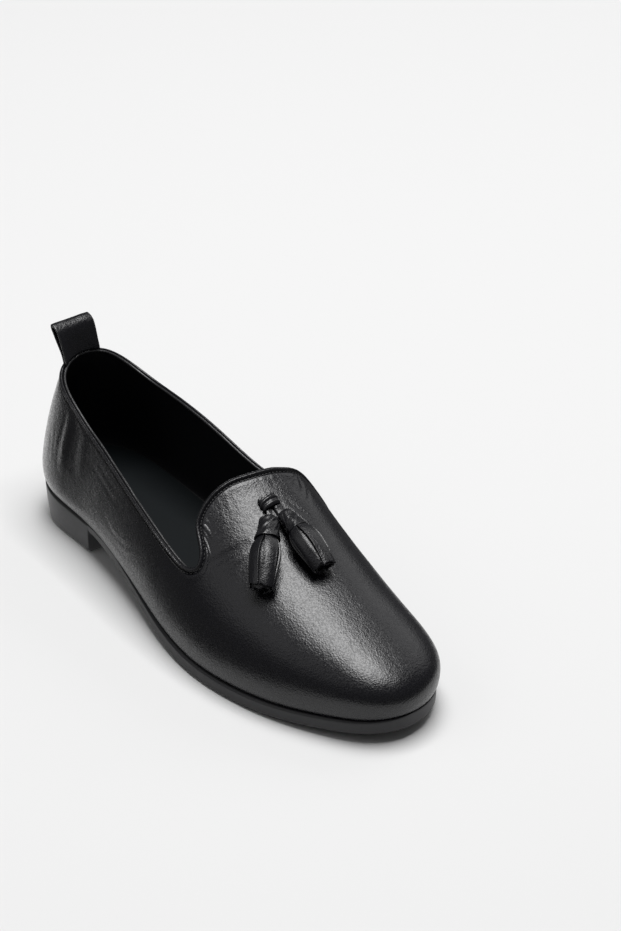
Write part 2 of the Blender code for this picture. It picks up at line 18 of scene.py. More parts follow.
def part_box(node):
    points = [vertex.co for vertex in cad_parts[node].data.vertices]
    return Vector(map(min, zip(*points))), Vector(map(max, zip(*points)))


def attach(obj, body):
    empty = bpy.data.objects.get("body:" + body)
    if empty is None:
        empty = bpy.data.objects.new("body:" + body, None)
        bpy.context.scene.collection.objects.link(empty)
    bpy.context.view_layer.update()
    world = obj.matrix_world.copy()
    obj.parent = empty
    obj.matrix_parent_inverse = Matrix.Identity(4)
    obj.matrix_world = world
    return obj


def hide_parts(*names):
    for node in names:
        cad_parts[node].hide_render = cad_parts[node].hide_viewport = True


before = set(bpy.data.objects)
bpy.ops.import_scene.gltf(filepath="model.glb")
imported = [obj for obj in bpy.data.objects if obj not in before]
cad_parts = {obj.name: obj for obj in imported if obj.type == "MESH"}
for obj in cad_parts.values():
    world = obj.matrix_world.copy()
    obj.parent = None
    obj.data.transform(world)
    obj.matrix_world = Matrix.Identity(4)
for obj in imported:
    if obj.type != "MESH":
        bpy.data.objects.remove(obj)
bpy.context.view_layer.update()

MM = 0.001
MERGE_DISTANCE = 0.001 * MM
BEVEL_ANGLE = math.radians(50)

# The sign of y on each side of the shoe
LATERAL = -1
MEDIAL = 1

# The picture: its size, the place in it of one point of the shoe, and the camera that took it
PICTURE = (621, 931)
AIM = Vector((-1.0 * MM, 4.26 * MM, 30 * MM))
AIM_PIXEL = (230.9, 547.5)
FOCAL_PIXELS = 3717
CAMERA_AZIMUTH = 51.76
CAMERA_ELEVATION = 31.47
CAMERA_ROLL = 1.07
CAMERA_DISTANCE = 1.665
SENSOR = 36.0

# Main sizes of the shoe
LENGTH = 258 * MM
HEEL_END_RADIUS = 30 * MM
TOE_END_RADIUS_LATERAL = 26 * MM
TOE_END_RADIUS_MEDIAL = 30 * MM
GAP = 0.3 * MM
HEEL_LEAN = 12.0 * MM
HEEL_LEAN_HEIGHT = 50 * MM
HEEL_LEAN_POWER = 1.2
HEEL_LEAN_SHARE = 0.25
NOSE_SHARE = 0.70
NOSE_POWER = 2.2

# Sections of the last in millimetres, heel to toe. lateral and medial are half widths at the widest line,
# tuck is how far the upper draws in under that line, seat the height of the sole's top, belly the rise from
# there to the widest line, crown the height of the ridge, ridge its shift to the medial side, and round the
# power of each side.
SECTION_COLUMNS = ("share", "lateral", "medial", "tuck", "seat", "belly", "crown", "ridge", "round_lateral",
                   "round_medial")
SECTIONS = (
    (0.00, 0.0, 0.0, 3.0, 18.5, 10.0, 101.0, 0.0, 1.80, 1.80),
    (0.06, 25.4, 24.8, 3.0, 17.5, 9.5, 101.0, 0.0, 1.80, 1.80),
    (0.17, 29.8, 28.8, 2.8, 16.5, 9.0, 103.0, 1.0, 1.95, 1.95),
    (0.30, 33.6, 29.5, 3.4, 14.5, 9.0, 102.0, 3.0, 2.00, 2.05),
    (0.42, 39.8, 31.0, 3.0, 11.5, 8.5, 92.5, 6.0, 2.00, 2.30),
    (0.54, 46.0, 36.0, 2.0, 8.4, 7.5, 77.2, 8.5, 2.00, 2.65),
    (0.64, 48.2, 39.2, 1.5, 7.0, 6.5, 63.6, 7.8, 2.05, 2.42),
    (0.74, 45.5, 39.6, 1.5, 7.0, 6.5, 52.5, 5.0, 2.15, 2.12),
    (0.84, 38.0, 36.6, 1.6, 8.2, 7.0, 45.4, 3.0, 2.20, 2.12),
    (0.93, 26.6, 29.4, 2.0, 10.4, 7.5, 41.6, 1.0, 2.20, 2.20),
    (1.00, 0.0, 0.0, 2.2, 12.4, 8.0, 39.5, 0.0, 2.20, 2.20),
)

# Lines of the upper from the heel round to the toe. lines counts the grid lines since the row before, foot
# is the share where a line starts at the sole, and top_share and top_angle (degrees from the ridge) are
# where it meets the topline.
LINE_COLUMNS = ("lines", "foot", "top_share", "top_angle")
LATERAL_LINES = (
    (0, 0.000, 0.000, 44.9),
    (4, 0.034, 0.034, 46.8),
    (3, 0.100, 0.100, 51.0),
    (5, 0.210, 0.205, 59.5),
    (5, 0.340, 0.338, 63.8),
    (5, 0.460, 0.456, 63.2),
    (4, 0.550, 0.541, 61.1),
    (3, 0.590, 0.5745, 58.6),
    (2, 0.615, 0.5905, 54.8),
    (2, 0.640, 0.5876, 50.3),
    (3, 0.680, 0.5640, 46.0),
    (3, 0.725, 0.5436, 42.0),
    (3, 0.780, 0.5350, 32.5),
    (5, 0.880, 0.5392, 17.0),
    (8, 1.000, 0.5485, 0.0),
)
MEDIAL_LINES = (
    (0, 0.000, 0.000, 44.9),
    (4, 0.034, 0.034, 47.6),
    (3, 0.100, 0.100, 54.9),
    (5, 0.210, 0.205, 59.7),
    (5, 0.340, 0.340, 62.8),
    (5, 0.460, 0.456, 65.8),
    (4, 0.550, 0.546, 64.5),
    (3, 0.590, 0.5800, 61.5),
    (2, 0.615, 0.5965, 57.4),
    (2, 0.640, 0.5945, 52.4),
    (3, 0.680, 0.5810, 45.8),
    (3, 0.725, 0.5675, 39.6),
    (3, 0.780, 0.5605, 31.0),
    (5, 0.880, 0.5580, 16.5),
    (8, 1.000, 0.5485, 0.0),
)
# A line runs round the girth where it starts behind the first share, and beyond the second it bends so
# that it leaves the sole upright and meets the topline squarely; GIRTH_RADIUS weighs across against along
POLAR_SHARE = 0.44
BENT_SHARE = 0.60
GIRTH_RADIUS = 47 * MM
LEAVE = 0.35
ARRIVE = 0.28
CLIMB_STEPS = 161

# The upper's wall, its edge and the fineness of its skin
WALL = 2.0 * MM
LEATHER_THICKNESS = 1.0 * MM
EDGE_BAND = 5.0 * MM
BELLY_TURN = 80.0
BELLY_END_TURN = 8.0
BELLY_ROWS = 9
# The lines are evened in rounds, by shares of their rows, and near the toe's line by a count of lines
EVENING_ROUNDS = 16
EVENING_STEP = 0.5
EVENING_START = (0.0, 0.2)
EVENING_END = (0.75, 1.0)
EVENING_TOE = (3, 9)
# Share of the columns over which the collar's edge passes into the tab's
TAB_FADE = 0.012
SKIN_COLUMNS = 640
# Distances in millimetres of the columns closest to the heel's seam
SEAM_COLUMNS = (0.0, 0.35, 0.75, 1.25, 1.85)
SKIN_ROWS = 76
EDGE_ROWS = 28
LINING_COLUMNS = 320
LINING_ROWS = 44
LINING_EDGE_ROWS = 8


def only(piece):
    """Select one object and make it active, with nothing else selected."""
    bpy.ops.object.select_all(action="DESELECT")
    piece.select_set(True)
    bpy.context.view_layer.objects.active = piece


def apply_modifier(piece, kind, **values):
    """Add a modifier with these values and apply it."""
    only(piece)
    added = piece.modifiers.new(kind.title(), kind)
    for key, value in values.items():
        setattr(added, key, value)
    bpy.ops.object.modifier_apply(modifier=added.name)


def round_edges(piece, width, segments):
    """Bevel the sharp edges of a piece."""
    apply_modifier(piece, "BEVEL", width=width, segments=segments, limit_method="ANGLE",
                   angle_limit=BEVEL_ANGLE)


def edit_all(piece, operator, **values):
    """Run one operator of edit mode on the whole of a piece."""
    only(piece)
    bpy.ops.object.mode_set(mode="EDIT")
    bpy.ops.mesh.select_all(action="SELECT")
    operator(**values)
    bpy.ops.object.mode_set(mode="OBJECT")


def spots_of(piece):
    """Points of a piece's mesh."""
    return np.array([v.co[:] for v in piece.data.vertices])


def outs_of(piece):
    """Outward directions at the points of a piece's mesh."""
    return np.array([v.normal[:] for v in piece.data.vertices])


def move_spots(piece, spots):
    """Put the points of a piece's mesh at new places."""
    piece.data.vertices.foreach_set("co", spots.ravel())
    piece.data.update()


def copy_of(node_name, piece_name):
    """A copy of a solid with its loose triangles merged and paired into quads."""
    piece = bpy.data.objects.new(piece_name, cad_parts[node_name].data.copy())
    bpy.context.scene.collection.objects.link(piece)
    piece.data.materials.clear()
    only(piece)
    bpy.ops.object.mode_set(mode="EDIT")
    bpy.ops.mesh.select_all(action="SELECT")
    bpy.ops.mesh.remove_doubles(threshold=MERGE_DISTANCE)
    bpy.ops.mesh.tris_convert_to_quads(face_threshold=math.pi, shape_threshold=math.pi)
    bpy.ops.object.mode_set(mode="OBJECT")
    return piece


def dress(piece, stuff, slot, *nodes):
    """Give a piece its material and its body, and hide the solids that it stands for; the slot is not used.
    """
    piece.data.materials.clear()
    piece.data.materials.append(stuff)
    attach(piece, "root")
    if nodes:
        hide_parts(*nodes)


def smooth(piece, angle):
    """Smooth shading with the edges sharper than an angle kept."""
    only(piece)
    bpy.ops.object.shade_smooth_by_angle(angle=math.radians(angle))


def mesh_piece(name, points, faces):
    """A new object from points and faces."""
    mesh = bpy.data.meshes.new(name)
    mesh.from_pydata(np.asarray(points, float).reshape(-1, 3).tolist(), [], faces)
    mesh.update()
    piece = bpy.data.objects.new(name, mesh)
    bpy.context.scene.collection.objects.link(piece)
    return piece


def ring_faces(rows, count, closed_rows=False):
    """Quads of a grid whose columns close to a ring, and whose rows may close too."""
    faces = []
    for r in range(rows if closed_rows else rows - 1):
        after = (r + 1) % rows
        for c in range(count):
            n = (c + 1) % count
            faces.append((r * count + c, r * count + n, after * count + n, after * count + c))
    return faces


def face_out(piece):
    """Turn all faces of a closed piece outwards."""
    edit_all(piece, bpy.ops.mesh.normals_make_consistent, inside=False)


def point_values(piece, name, values):
    """Keep one number for each point of a piece under a name that its material reads."""
    layer = piece.data.attributes.new(name, "FLOAT", "POINT")
    layer.data.foreach_set("value", np.asarray(values, np.float32).ravel())


def smooth_step(low, high, value):
    part = np.clip((value - low) / (high - low), 0.0, 1.0)
    return part * part * (3 - 2 * part)


def bump(value, middle, half):
    """A smooth bump of height 1."""
    part = np.clip(1 - ((value - middle) / half) ** 2, 0.0, 1.0)
    return part * part


def noise_at(points, size, seed=0.0):
    """Smooth noise of about -1 to 1 with features of a given size."""
    shift = Vector((seed, 0.37 * seed, 1.7 * seed))
    flat = np.asarray(points).reshape(-1, 3) / size
    values = [noise.noise(Vector(p) + shift) for p in flat]
    return np.array(values).reshape(np.asarray(points).shape[:-1])


def curve(knots, values, places):
    """A smooth curve through values (along their first axis) at rising knots, read at places."""
    slope = np.gradient(values, knots, axis=0)
    i = np.clip(np.searchsorted(knots, places, side="right") - 1, 0, len(knots) - 2)
    width = knots[i + 1] - knots[i]
    t = (places - knots[i]) / width
    shape = (-1,) + (1,) * (values.ndim - 1)
    t, width = t.reshape(shape), width.reshape(shape)
    start = (1 + 2 * t) * (1 - t) ** 2 * values[i] + t * (1 - t) ** 2 * width * slope[i]
    end = t * t * (3 - 2 * t) * values[i + 1] + t * t * (t - 1) * width * slope[i + 1]
    return start + end


def column(table, names, name):
    """One named column of a table as an array."""
    return np.array([row[names.index(name)] for row in table], float)


def spline(knots, values):
    """A natural cubic curve through the knots, as a function."""
    count = len(knots)
    step = np.diff(knots)
    system = np.eye(count)
    right = np.zeros(count)
    for i in range(1, count - 1):
        system[i, i - 1:i + 2] = step[i - 1], 2 * (step[i - 1] + step[i]), step[i]
        right[i] = 6 * ((values[i + 1] - values[i]) / step[i] - (values[i] - values[i - 1]) / step[i - 1])
    bend = np.linalg.solve(system, right)

    def at(place):
        place = np.asarray(place, float)
        i = np.clip(np.searchsorted(knots, place, side="right") - 1, 0, count - 2)
        before = knots[i + 1] - place
        after = place - knots[i]
        width = step[i]
        curved = (bend[i] * before**3 + bend[i + 1] * after**3) / (6 * width)
        first = (values[i] / width - bend[i] * width / 6) * before
        second = (values[i + 1] / width - bend[i + 1] * width / 6) * after
        return curved + first + second

    return at


def share_of(turn):
    return (1 - np.cos(turn)) / 2


def turn_of(share):
    return np.arccos(np.clip(1 - 2 * np.asarray(share, float), -1.0, 1.0))


def section(name, unit=MM):
    """The curve of one column of the section table."""
    shares = column(SECTIONS, SECTION_COLUMNS, "share")
    return spline(shares, column(SECTIONS, SECTION_COLUMNS, name) * unit)


def width_factor(name, toe_radius):
    """Half width divided by the sine of the turn, so that both ends close to the given radii."""
    shares = column(SECTIONS, SECTION_COLUMNS, "share")
    widths = column(SECTIONS, SECTION_COLUMNS, name) * MM
    factors = np.zeros(len(widths))
    factors[0] = math.sqrt(HEEL_END_RADIUS * LENGTH / 2)
    factors[-1] = math.sqrt(toe_radius * LENGTH / 2)
    factors[1:-1] = widths[1:-1] / np.sin(turn_of(shares[1:-1]))
    return spline(shares, factors)


WIDTH = {
    LATERAL: width_factor("lateral", TOE_END_RADIUS_LATERAL),
    MEDIAL: width_factor("medial", TOE_END_RADIUS_MEDIAL),
}
ROUND = {LATERAL: section("round_lateral", 1.0), MEDIAL: section("round_medial", 1.0)}
SEAT = section("seat")
BELLY = section("belly")
TUCK = section("tuck")
CROWN = section("crown")
RIDGE = section("ridge")


def half_width(turn, side):
    return WIDTH[side](share_of(turn)) * np.sin(turn)


def outline(turn, side, offset):
    """Plan points of the widest line at turns, moved outwards by an offset."""
    nudge = 1e-4
    along = LENGTH / 2 * np.sin(turn)
    spread = (half_width(turn + nudge, side) - half_width(turn - nudge, side)) / (2 * nudge)
    size = np.hypot(along, spread)
    x = LENGTH * share_of(turn) - spread / size * offset
    return np.stack([x, side * (half_width(turn, side) + along / size * offset)], -1)


def skin_point(share, angle, side):
    """Point of the upper's outer skin at a share of the length and an angle from the ridge."""
    share = np.clip(share, 0.0, 1.0)
    power = 2 / ROUND[side](share)
    out = np.abs(np.sin(angle)) ** power
    up = np.abs(np.cos(angle)) ** power
    forward = np.clip((share - NOSE_SHARE) / (1 - NOSE_SHARE), 0.0, 1.0)
    nose = (1 - forward**NOSE_POWER) ** (1 / NOSE_POWER)
    widest = SEAT(share) + BELLY(share)
    climb = (CROWN(share) - widest) * nose * up
    fade = np.clip(1 - share / HEEL_LEAN_SHARE, 0.0, 1.0) ** 2
    lean = HEEL_LEAN * (climb / HEEL_LEAN_HEIGHT) ** HEEL_LEAN_POWER * fade
    y = RIDGE(share) * (1 - out) + side * half_width(turn_of(share), side) * out
    return np.stack([share * LENGTH + lean, y, widest + climb], -1)


def plan_place(share, angle):
    """A place of the skin in a flat half plane with the toe tip at its origin: across, along."""
    return np.stack([(1 - share) * np.sin(angle), (1 - share) * np.cos(angle)], -1)


def square_to(share, angle):
    """Direction in the half plane, for each line of one side, that leaves the topline squarely."""
    tops = plan_place(share, angle)
    mirrored = tops[-2] * np.array([-1.0, 1.0])
    longer = np.vstack([2 * tops[0] - tops[1], tops, mirrored])
    run = longer[2:] - longer[:-2]
    reach = np.linalg.norm(tops, axis=1, keepdims=True)
    out = tops / reach
    turn = np.stack([out[:, 1], -out[:, 0]], -1)
    weigh = GIRTH_RADIUS / (reach[:, 0] * LENGTH)
    run_out = (run * out).sum(axis=1)
    run_turn = (run * turn).sum(axis=1)
    square = out * (weigh * run_turn)[:, None] - turn * (run_out / weigh)[:, None]
    return square / np.linalg.norm(square, axis=1, keepdims=True)


def climb_line(foot, top_share, top_angle, square):
    """Shares and angles of a fine line on the skin from the widest line at a foot turn up to the topline."""
    part = np.linspace(0.0, 1.0, CLIMB_STEPS)
    reach = (1 - share_of(foot)) + (share_of(foot) - top_share) * part
    angle = math.pi / 2 + (top_angle - math.pi / 2) * part
    girth = np.stack([reach * np.sin(angle), reach * np.cos(angle)], -1)
    start = np.array([1 - share_of(foot), 0.0])
    end = plan_place(top_share, top_angle)
    span = np.linalg.norm(end - start)
    leave = start + np.array([0.0, LEAVE * span])
    arrive = end + square * ARRIVE * span
    t = part[:, None]
    bent = start * (1 - t) ** 3 + 3 * leave * t * (1 - t) ** 2 + 3 * arrive * t**2 * (1 - t) + end * t**3
    share = smooth_step(POLAR_SHARE, BENT_SHARE, share_of(foot))
    place = girth * (1 - share) + bent * share
    return 1 - np.hypot(place[:, 0], place[:, 1]), np.arctan2(place[:, 0], place[:, 1])


def side_lines(table, side, rows, edge_rows):
    """Flat places (across and along, zero at the toe tip) of each line of one side, sole to topline."""
    counts = np.cumsum(column(table, LINE_COLUMNS, "lines"))
    places = np.arange(counts[-1] + 1)
    foot = spline(counts, turn_of(column(table, LINE_COLUMNS, "foot")))(places)
    top = share_of(spline(counts, turn_of(column(table, LINE_COLUMNS, "top_share")))(places))
    top_angle = spline(counts, np.radians(column(table, LINE_COLUMNS, "top_angle")))(places)
    lines = []
    for k, square in enumerate(square_to(top, top_angle)):
        share, angle = climb_line(foot[k], top[k], top_angle[k], square)
        steps = np.linalg.norm(np.diff(skin_point(share, angle, side), axis=0), axis=1)
        length = np.concatenate([[0.0], np.cumsum(steps)])
        band = length[-1] - EDGE_BAND
        lower = np.linspace(0, band, rows, endpoint=False)
        wanted = np.concatenate([lower, np.linspace(band, length[-1], edge_rows)])
        reach = np.interp(wanted, length, math.pi - turn_of(share))
        angle = np.interp(wanted, length, angle)
        lines.append(np.stack([side * reach * np.sin(angle), reach * np.cos(angle)], -1))
    return np.array(lines)


def evened(lines, rows, toe):
    """The lines spread more evenly from the sole to the edge band, and by the toe's line to the topline."""
    row = np.arange(lines.shape[1]) / rows
    start = smooth_step(*EVENING_START, row)
    share = start * (1 - smooth_step(*EVENING_END, row))
    close = 1 - smooth_step(*EVENING_TOE, np.abs(np.arange(1, len(lines) - 1) - toe))
    share = np.maximum(share, close[:, None] * start)[..., None]
    for _ in range(EVENING_ROUNDS):
        between = (lines[:-2] + lines[2:]) / 2
        lines[1:-1] += EVENING_STEP * share * (between - lines[1:-1])
    return lines


def by_side(place, lateral, medial):
    return np.where(place[..., :1] < 0, lateral, medial)


def skin_of(place):
    """Points of the skin at flat places."""
    share = share_of(math.pi - np.hypot(place[..., 0], place[..., 1]))
    angle = np.arctan2(np.abs(place[..., 0]), place[..., 1])
    return by_side(place, skin_point(share, angle, LATERAL), skin_point(share, angle, MEDIAL))


def belly_rows(foot_place):
    """Rows of points from the sole up to the widest line, drawn in towards the sole."""
    foot = math.pi - np.abs(foot_place[:, 0])
    at = share_of(foot)
    widest = SEAT(at) + BELLY(at)
    rows = []
    for turned in np.radians(np.linspace(BELLY_TURN, BELLY_END_TURN, BELLY_ROWS)):
        offset = -TUCK(at) * (1 - math.cos(turned))
        plan = by_side(foot_place, outline(foot, LATERAL, offset), outline(foot, MEDIAL, offset))
        seat = SEAT(np.clip(plan[:, 0] / LENGTH, 0.0, 1.0)) + GAP
        drop = math.sin(turned) / math.sin(math.radians(BELLY_TURN))
        rows.append(np.column_stack([plan, widest + (seat - widest) * drop]))
    return np.array(rows)


def grid_normals(grid):
    """Outward normals of a grid, its columns closed to a ring."""
    across = np.roll(grid, -1, axis=1) - np.roll(grid, 1, axis=1)
    up = np.gradient(grid, axis=0)
    normal = np.cross(across, up)
    return normal / np.linalg.norm(normal, axis=2, keepdims=True)


class Skin:
    """The upper's smooth outer skin: rows from the sole up, columns from the heel by the lateral side."""

    def __init__(self, columns, rows, edge_rows):
        half = columns // 2
        lateral = side_lines(LATERAL_LINES, LATERAL, rows, edge_rows)
        medial = side_lines(MEDIAL_LINES, MEDIAL, rows, edge_rows)
        toe = len(lateral) - 1
        lines = evened(np.concatenate([lateral, medial[-2::-1]]), rows, toe)
        spacing = np.linalg.norm(np.diff(skin_of(lines), axis=0), axis=2).mean(axis=1)
        knots = np.concatenate([[0.0], np.cumsum(spacing)])
        close = np.array(SEAM_COLUMNS) * MM
        start = 2 * close[-1] - close[-2]
        count = half - len(close)
        to_toe = np.linspace(start, knots[toe], count, endpoint=False)
        from_toe = np.linspace(knots[toe], knots[-1] - start, count + 1)
        wanted = np.concatenate([close, to_toe, from_toe, knots[-1] - close[:0:-1]])
        place = curve(knots, lines, wanted)
        grid = np.concatenate([belly_rows(place[:, 0]), skin_of(place).transpose(1, 0, 2)])
        corner = np.array(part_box("upper")[0])
        self.points = grid + np.array([corner[0], corner[1] - grid[..., 1].min(), 0.0])
        self.normals = grid_normals(self.points)
        climb = np.linalg.norm(np.diff(self.points, axis=0), axis=2)
        self.above = np.concatenate([np.zeros((1, columns)), np.cumsum(climb, axis=0)])
        self.below = self.above[-1] - self.above
        rim = self.points[-1]
        self.along = np.concatenate([[0.0], np.cumsum(np.linalg.norm(np.diff(rim, axis=0), axis=1))])
        whole = self.along[-1] + np.linalg.norm(rim[0] - rim[-1])
        self.from_seam = np.minimum(self.along, whole - self.along)
        self.up = rim - self.points[-4]
        self.up /= np.linalg.norm(self.up, axis=1, keepdims=True)
        self.throats = int(np.argmin(rim[:half, 2])), half + int(np.argmin(rim[half:, 2]))
        fade = TAB_FADE * columns
        place = np.arange(columns)
        self.tab = smooth_step(self.throats[0] - fade / 2, self.throats[0] + fade, place)
        self.tab = self.tab * (1 - smooth_step(self.throats[1] - fade, self.throats[1] + fade / 2, place))


# Shared surface effects

# Pebbled grain: how soft its cells are, the count and height of the finer roughness and of the slow swell
# against the cells, and the heights between which a crest begins and is full
PEBBLE_SOFTNESS = 0.7
FINE_COUNT = 1.6
FINE_HEIGHT = 0.5
SWELL_COUNT = 0.3
SWELL_HEIGHT = 1.6
CREST_RANGE = (0.62, 0.98)


def group_tree(name, inputs, outputs):
    """An empty shader node group with named sockets."""
    tree = bpy.data.node_groups.new(name, "ShaderNodeTree")
    for label, kind, value in inputs:
        socket = tree.interface.new_socket(name=label, in_out="INPUT", socket_type=kind)
        if value is not None:
            socket.default_value = value
    for label, kind in outputs:
        tree.interface.new_socket(name=label, in_out="OUTPUT", socket_type=kind)
    return tree, tree.nodes.new("NodeGroupInput"), tree.nodes.new("NodeGroupOutput")


def math_node(tree, operation, first, second):
    """A Math node fed by sockets or plain numbers."""
    made = tree.nodes.new("ShaderNodeMath")
    made.operation = operation
    for socket, value in zip(made.inputs, (first, second)):
        if isinstance(value, (int, float)):
            socket.default_value = value
        else:
            tree.links.new(value, socket)
    return made.outputs[0]


def noise_node(tree, vector, scale, detail=3.0, rough=0.55):
    made = tree.nodes.new("ShaderNodeTexNoise")
    made.inputs["Detail"].default_value = detail
    made.inputs["Roughness"].default_value = rough
    tree.links.new(vector, made.inputs["Vector"])
    if isinstance(scale, (int, float)):
        made.inputs["Scale"].default_value = scale
    else:
        tree.links.new(scale, made.inputs["Scale"])
    return made.outputs["Fac"]


def range_node(tree, value, start, end, low=0.0, high=1.0):
    """A value from between two numbers spread between two others."""
    made = tree.nodes.new("ShaderNodeMapRange")
    for label, number in (("From Min", start), ("From Max", end), ("To Min", low), ("To Max", high)):
        made.inputs[label].default_value = number
    tree.links.new(value, made.inputs["Value"])
    return made.outputs[0]


def pebble_group():
    """Fine pebbled grain: soft rounded cells on a finer roughness and a slow swell."""
    inputs = [("Vector", "NodeSocketVector", None), ("Cells", "NodeSocketFloat", 1500.0)]
    outputs = [("Height", "NodeSocketFloat"), ("Crest", "NodeSocketFloat")]
    tree, given, out = group_tree("pebbled_grain", inputs, outputs)
    place, count = given.outputs["Vector"], given.outputs["Cells"]
    cells = tree.nodes.new("ShaderNodeTexVoronoi")
    cells.feature = "SMOOTH_F1"
    cells.inputs["Smoothness"].default_value = PEBBLE_SOFTNESS
    tree.links.new(place, cells.inputs["Vector"])
    tree.links.new(count, cells.inputs["Scale"])
    dome = math_node(tree, "SUBTRACT", 1.0, cells.outputs["Distance"])
    fine = noise_node(tree, place, math_node(tree, "MULTIPLY", count, FINE_COUNT))
    swell = noise_node(tree, place, math_node(tree, "MULTIPLY", count, SWELL_COUNT))
    rough = math_node(tree, "ADD", dome, math_node(tree, "MULTIPLY", fine, FINE_HEIGHT))
    height = math_node(tree, "ADD", rough, math_node(tree, "MULTIPLY", swell, SWELL_HEIGHT))
    tree.links.new(height, out.inputs["Height"])
    tree.links.new(range_node(tree, rough, *CREST_RANGE), out.inputs["Crest"])
    return tree


def patches_group():
    """Slow uneven patches for colour and gloss, each about 0 to 1."""
    inputs = [("Vector", "NodeSocketVector", None), ("Broad", "NodeSocketFloat", 25.0),
              ("Small", "NodeSocketFloat", 160.0)]
    outputs = [("Tone", "NodeSocketFloat"), ("Gloss", "NodeSocketFloat")]
    tree, given, out = group_tree("uneven_patches", inputs, outputs)
    place = given.outputs["Vector"]
    tree.links.new(noise_node(tree, place, given.outputs["Broad"], 4.0), out.inputs["Tone"])
    tree.links.new(noise_node(tree, place, given.outputs["Small"], 5.0, 0.65), out.inputs["Gloss"])
    return tree


PEBBLES = pebble_group()
PATCHES = patches_group()


class Finish:
    """A material in the making: its tree, its shader and its object coordinates."""

    def __init__(self, name, **values):
        self.stuff = bpy.data.materials.new(name)
        self.stuff.use_nodes = True
        self.tree = self.stuff.node_tree
        self.shader = self.tree.nodes["Principled BSDF"]
        for label, value in values.items():
            self.shader.inputs[label.replace("_", " ")].default_value = value
        self.place = self.tree.nodes.new("ShaderNodeTexCoord").outputs["Object"]

    def group(self, tree, vector=None, **values):
        made = self.tree.nodes.new("ShaderNodeGroup")
        made.node_tree = tree
        self.tree.links.new(vector or self.place, made.inputs["Vector"])
        for label, value in values.items():
            made.inputs[label].default_value = value
        return made

    def stretched(self, scale):
        """Object coordinates stretched by a factor along each axis."""
        made = self.tree.nodes.new("ShaderNodeMapping")
        made.inputs["Scale"].default_value = scale
        self.tree.links.new(self.place, made.inputs["Vector"])
        return made.outputs["Vector"]

    def value(self, name):
        """A number kept on the piece's points."""
        made = self.tree.nodes.new("ShaderNodeAttribute")
        made.attribute_name = name
        return made.outputs["Fac"]

    def spread(self, value, low, high):
        """A 0 to 1 value spread between two numbers."""
        return range_node(self.tree, value, 0.0, 1.0, low, high)

    def colours(self, value, below, above):
        """A 0 to 1 value as a blend of two colours, the first plain or from another node."""
        made = self.tree.nodes.new("ShaderNodeMix")
        made.data_type = "RGBA"
        if isinstance(below, tuple):
            made.inputs["A"].default_value = (*below, 1.0)
        else:
            self.tree.links.new(below, made.inputs["A"])
        made.inputs["B"].default_value = (*above, 1.0)
        self.tree.links.new(value, made.inputs["Factor"])
        return made.outputs["Result"]

    def bumped(self, height, distance, strength=1.0, under=None):
        made = self.tree.nodes.new("ShaderNodeBump")
        made.inputs["Distance"].default_value = distance
        made.inputs["Strength"].default_value = strength
        self.tree.links.new(height, made.inputs["Height"])
        if under is not None:
            self.tree.links.new(under, made.inputs["Normal"])
        return made.outputs["Normal"]

    def feed(self, **sockets):
        for label, socket in sockets.items():
            self.tree.links.new(socket, self.shader.inputs[label.replace("_", " ")])
        return self.stuff


# The leather's mirror strength, its paler colour where rubbed and where a highlight is painted on the
# tassels' strip edges, how uneven its gloss is, how much duller the pits and shinier the crests of its grain
# are, and its
# fine wrinkles: how they are drawn out, their count and height
LEATHER_SHINE = 0.54
RUBBED_AND_SHEEN_TONE = (0.016, 0.016, 0.017)
GLOSS_SPREAD = 0.07
PIT_TO_CREST = (0.07, -0.09)
WRINKLES = {"creased_along": (0.16, 0.5, 1.0), "creased_upright": (1.0, 0.5, 0.2)}
WRINKLE_COUNT = 420.0
WRINKLE_HEIGHT = 0.13 * MM


def leather(name, dark, light, rough, cells, grain):
    """Black grained leather with uneven gloss and paler rubbed edges; the same paler colour paints highlights
    on the tassels' strip edges.
    """
    made = Finish(name, IOR=1.5, Specular_IOR_Level=LEATHER_SHINE)
    pebbles = made.group(PEBBLES, Cells=cells)
    patches = made.group(PATCHES)
    tone = made.colours(patches.outputs["Tone"], dark, light)
    # paler colour for rubbed wear, and a painted highlight where a piece marks one
    worn_and_sheen = made.colours(made.value("rubbed_and_sheen"), tone, RUBBED_AND_SHEEN_TONE)
    gloss = made.spread(patches.outputs["Gloss"], rough - GLOSS_SPREAD, rough + GLOSS_SPREAD)
    creases = []
    for zone, drawn_out in WRINKLES.items():
        fine = noise_node(made.tree, made.stretched(drawn_out), WRINKLE_COUNT, 3.0, 0.6)
        creases.append(math_node(made.tree, "MULTIPLY", fine, made.value(zone)))
    normal = made.bumped(math_node(made.tree, "ADD", *creases), WRINKLE_HEIGHT)
    normal = made.bumped(pebbles.outputs["Height"], grain, 1.0, normal)
    dull = math_node(made.tree, "ADD", gloss, made.spread(pebbles.outputs["Crest"], *PIT_TO_CREST))
    return made.feed(Base_Color=worn_and_sheen, Roughness=dull, Normal=normal)


def rubber():
    """Dark satin moulded rubber with a faint bloom and fine moulding texture."""
    made = Finish("dark_satin_rubber", IOR=1.5)
    patches = made.group(PATCHES, Broad=18.0, Small=420.0)
    tone = made.colours(patches.outputs["Tone"], (0.014, 0.014, 0.016), (0.020, 0.020, 0.022))
    gloss = made.spread(patches.outputs["Gloss"], 0.44, 0.58)
    normal = made.bumped(noise_node(made.tree, made.place, 1500.0, 2.0), 0.03 * MM, 0.7)
    return made.feed(Base_Color=tone, Roughness=gloss, Normal=normal)


def lining(name, dark, light, rough, shine):
    """Thin dull lining leather."""
    made = Finish(name, IOR=1.45, Specular_IOR_Level=shine)
    pebbles = made.group(PEBBLES, Cells=1400.0)
    patches = made.group(PATCHES, Broad=40.0, Small=300.0)
    tone = made.colours(patches.outputs["Tone"], dark, light)
    gloss = made.spread(patches.outputs["Gloss"], rough - 0.06, rough + 0.08)
    normal = made.bumped(pebbles.outputs["Height"], 0.03 * MM, 0.8)
    return made.feed(Base_Color=tone, Roughness=gloss, Normal=normal)


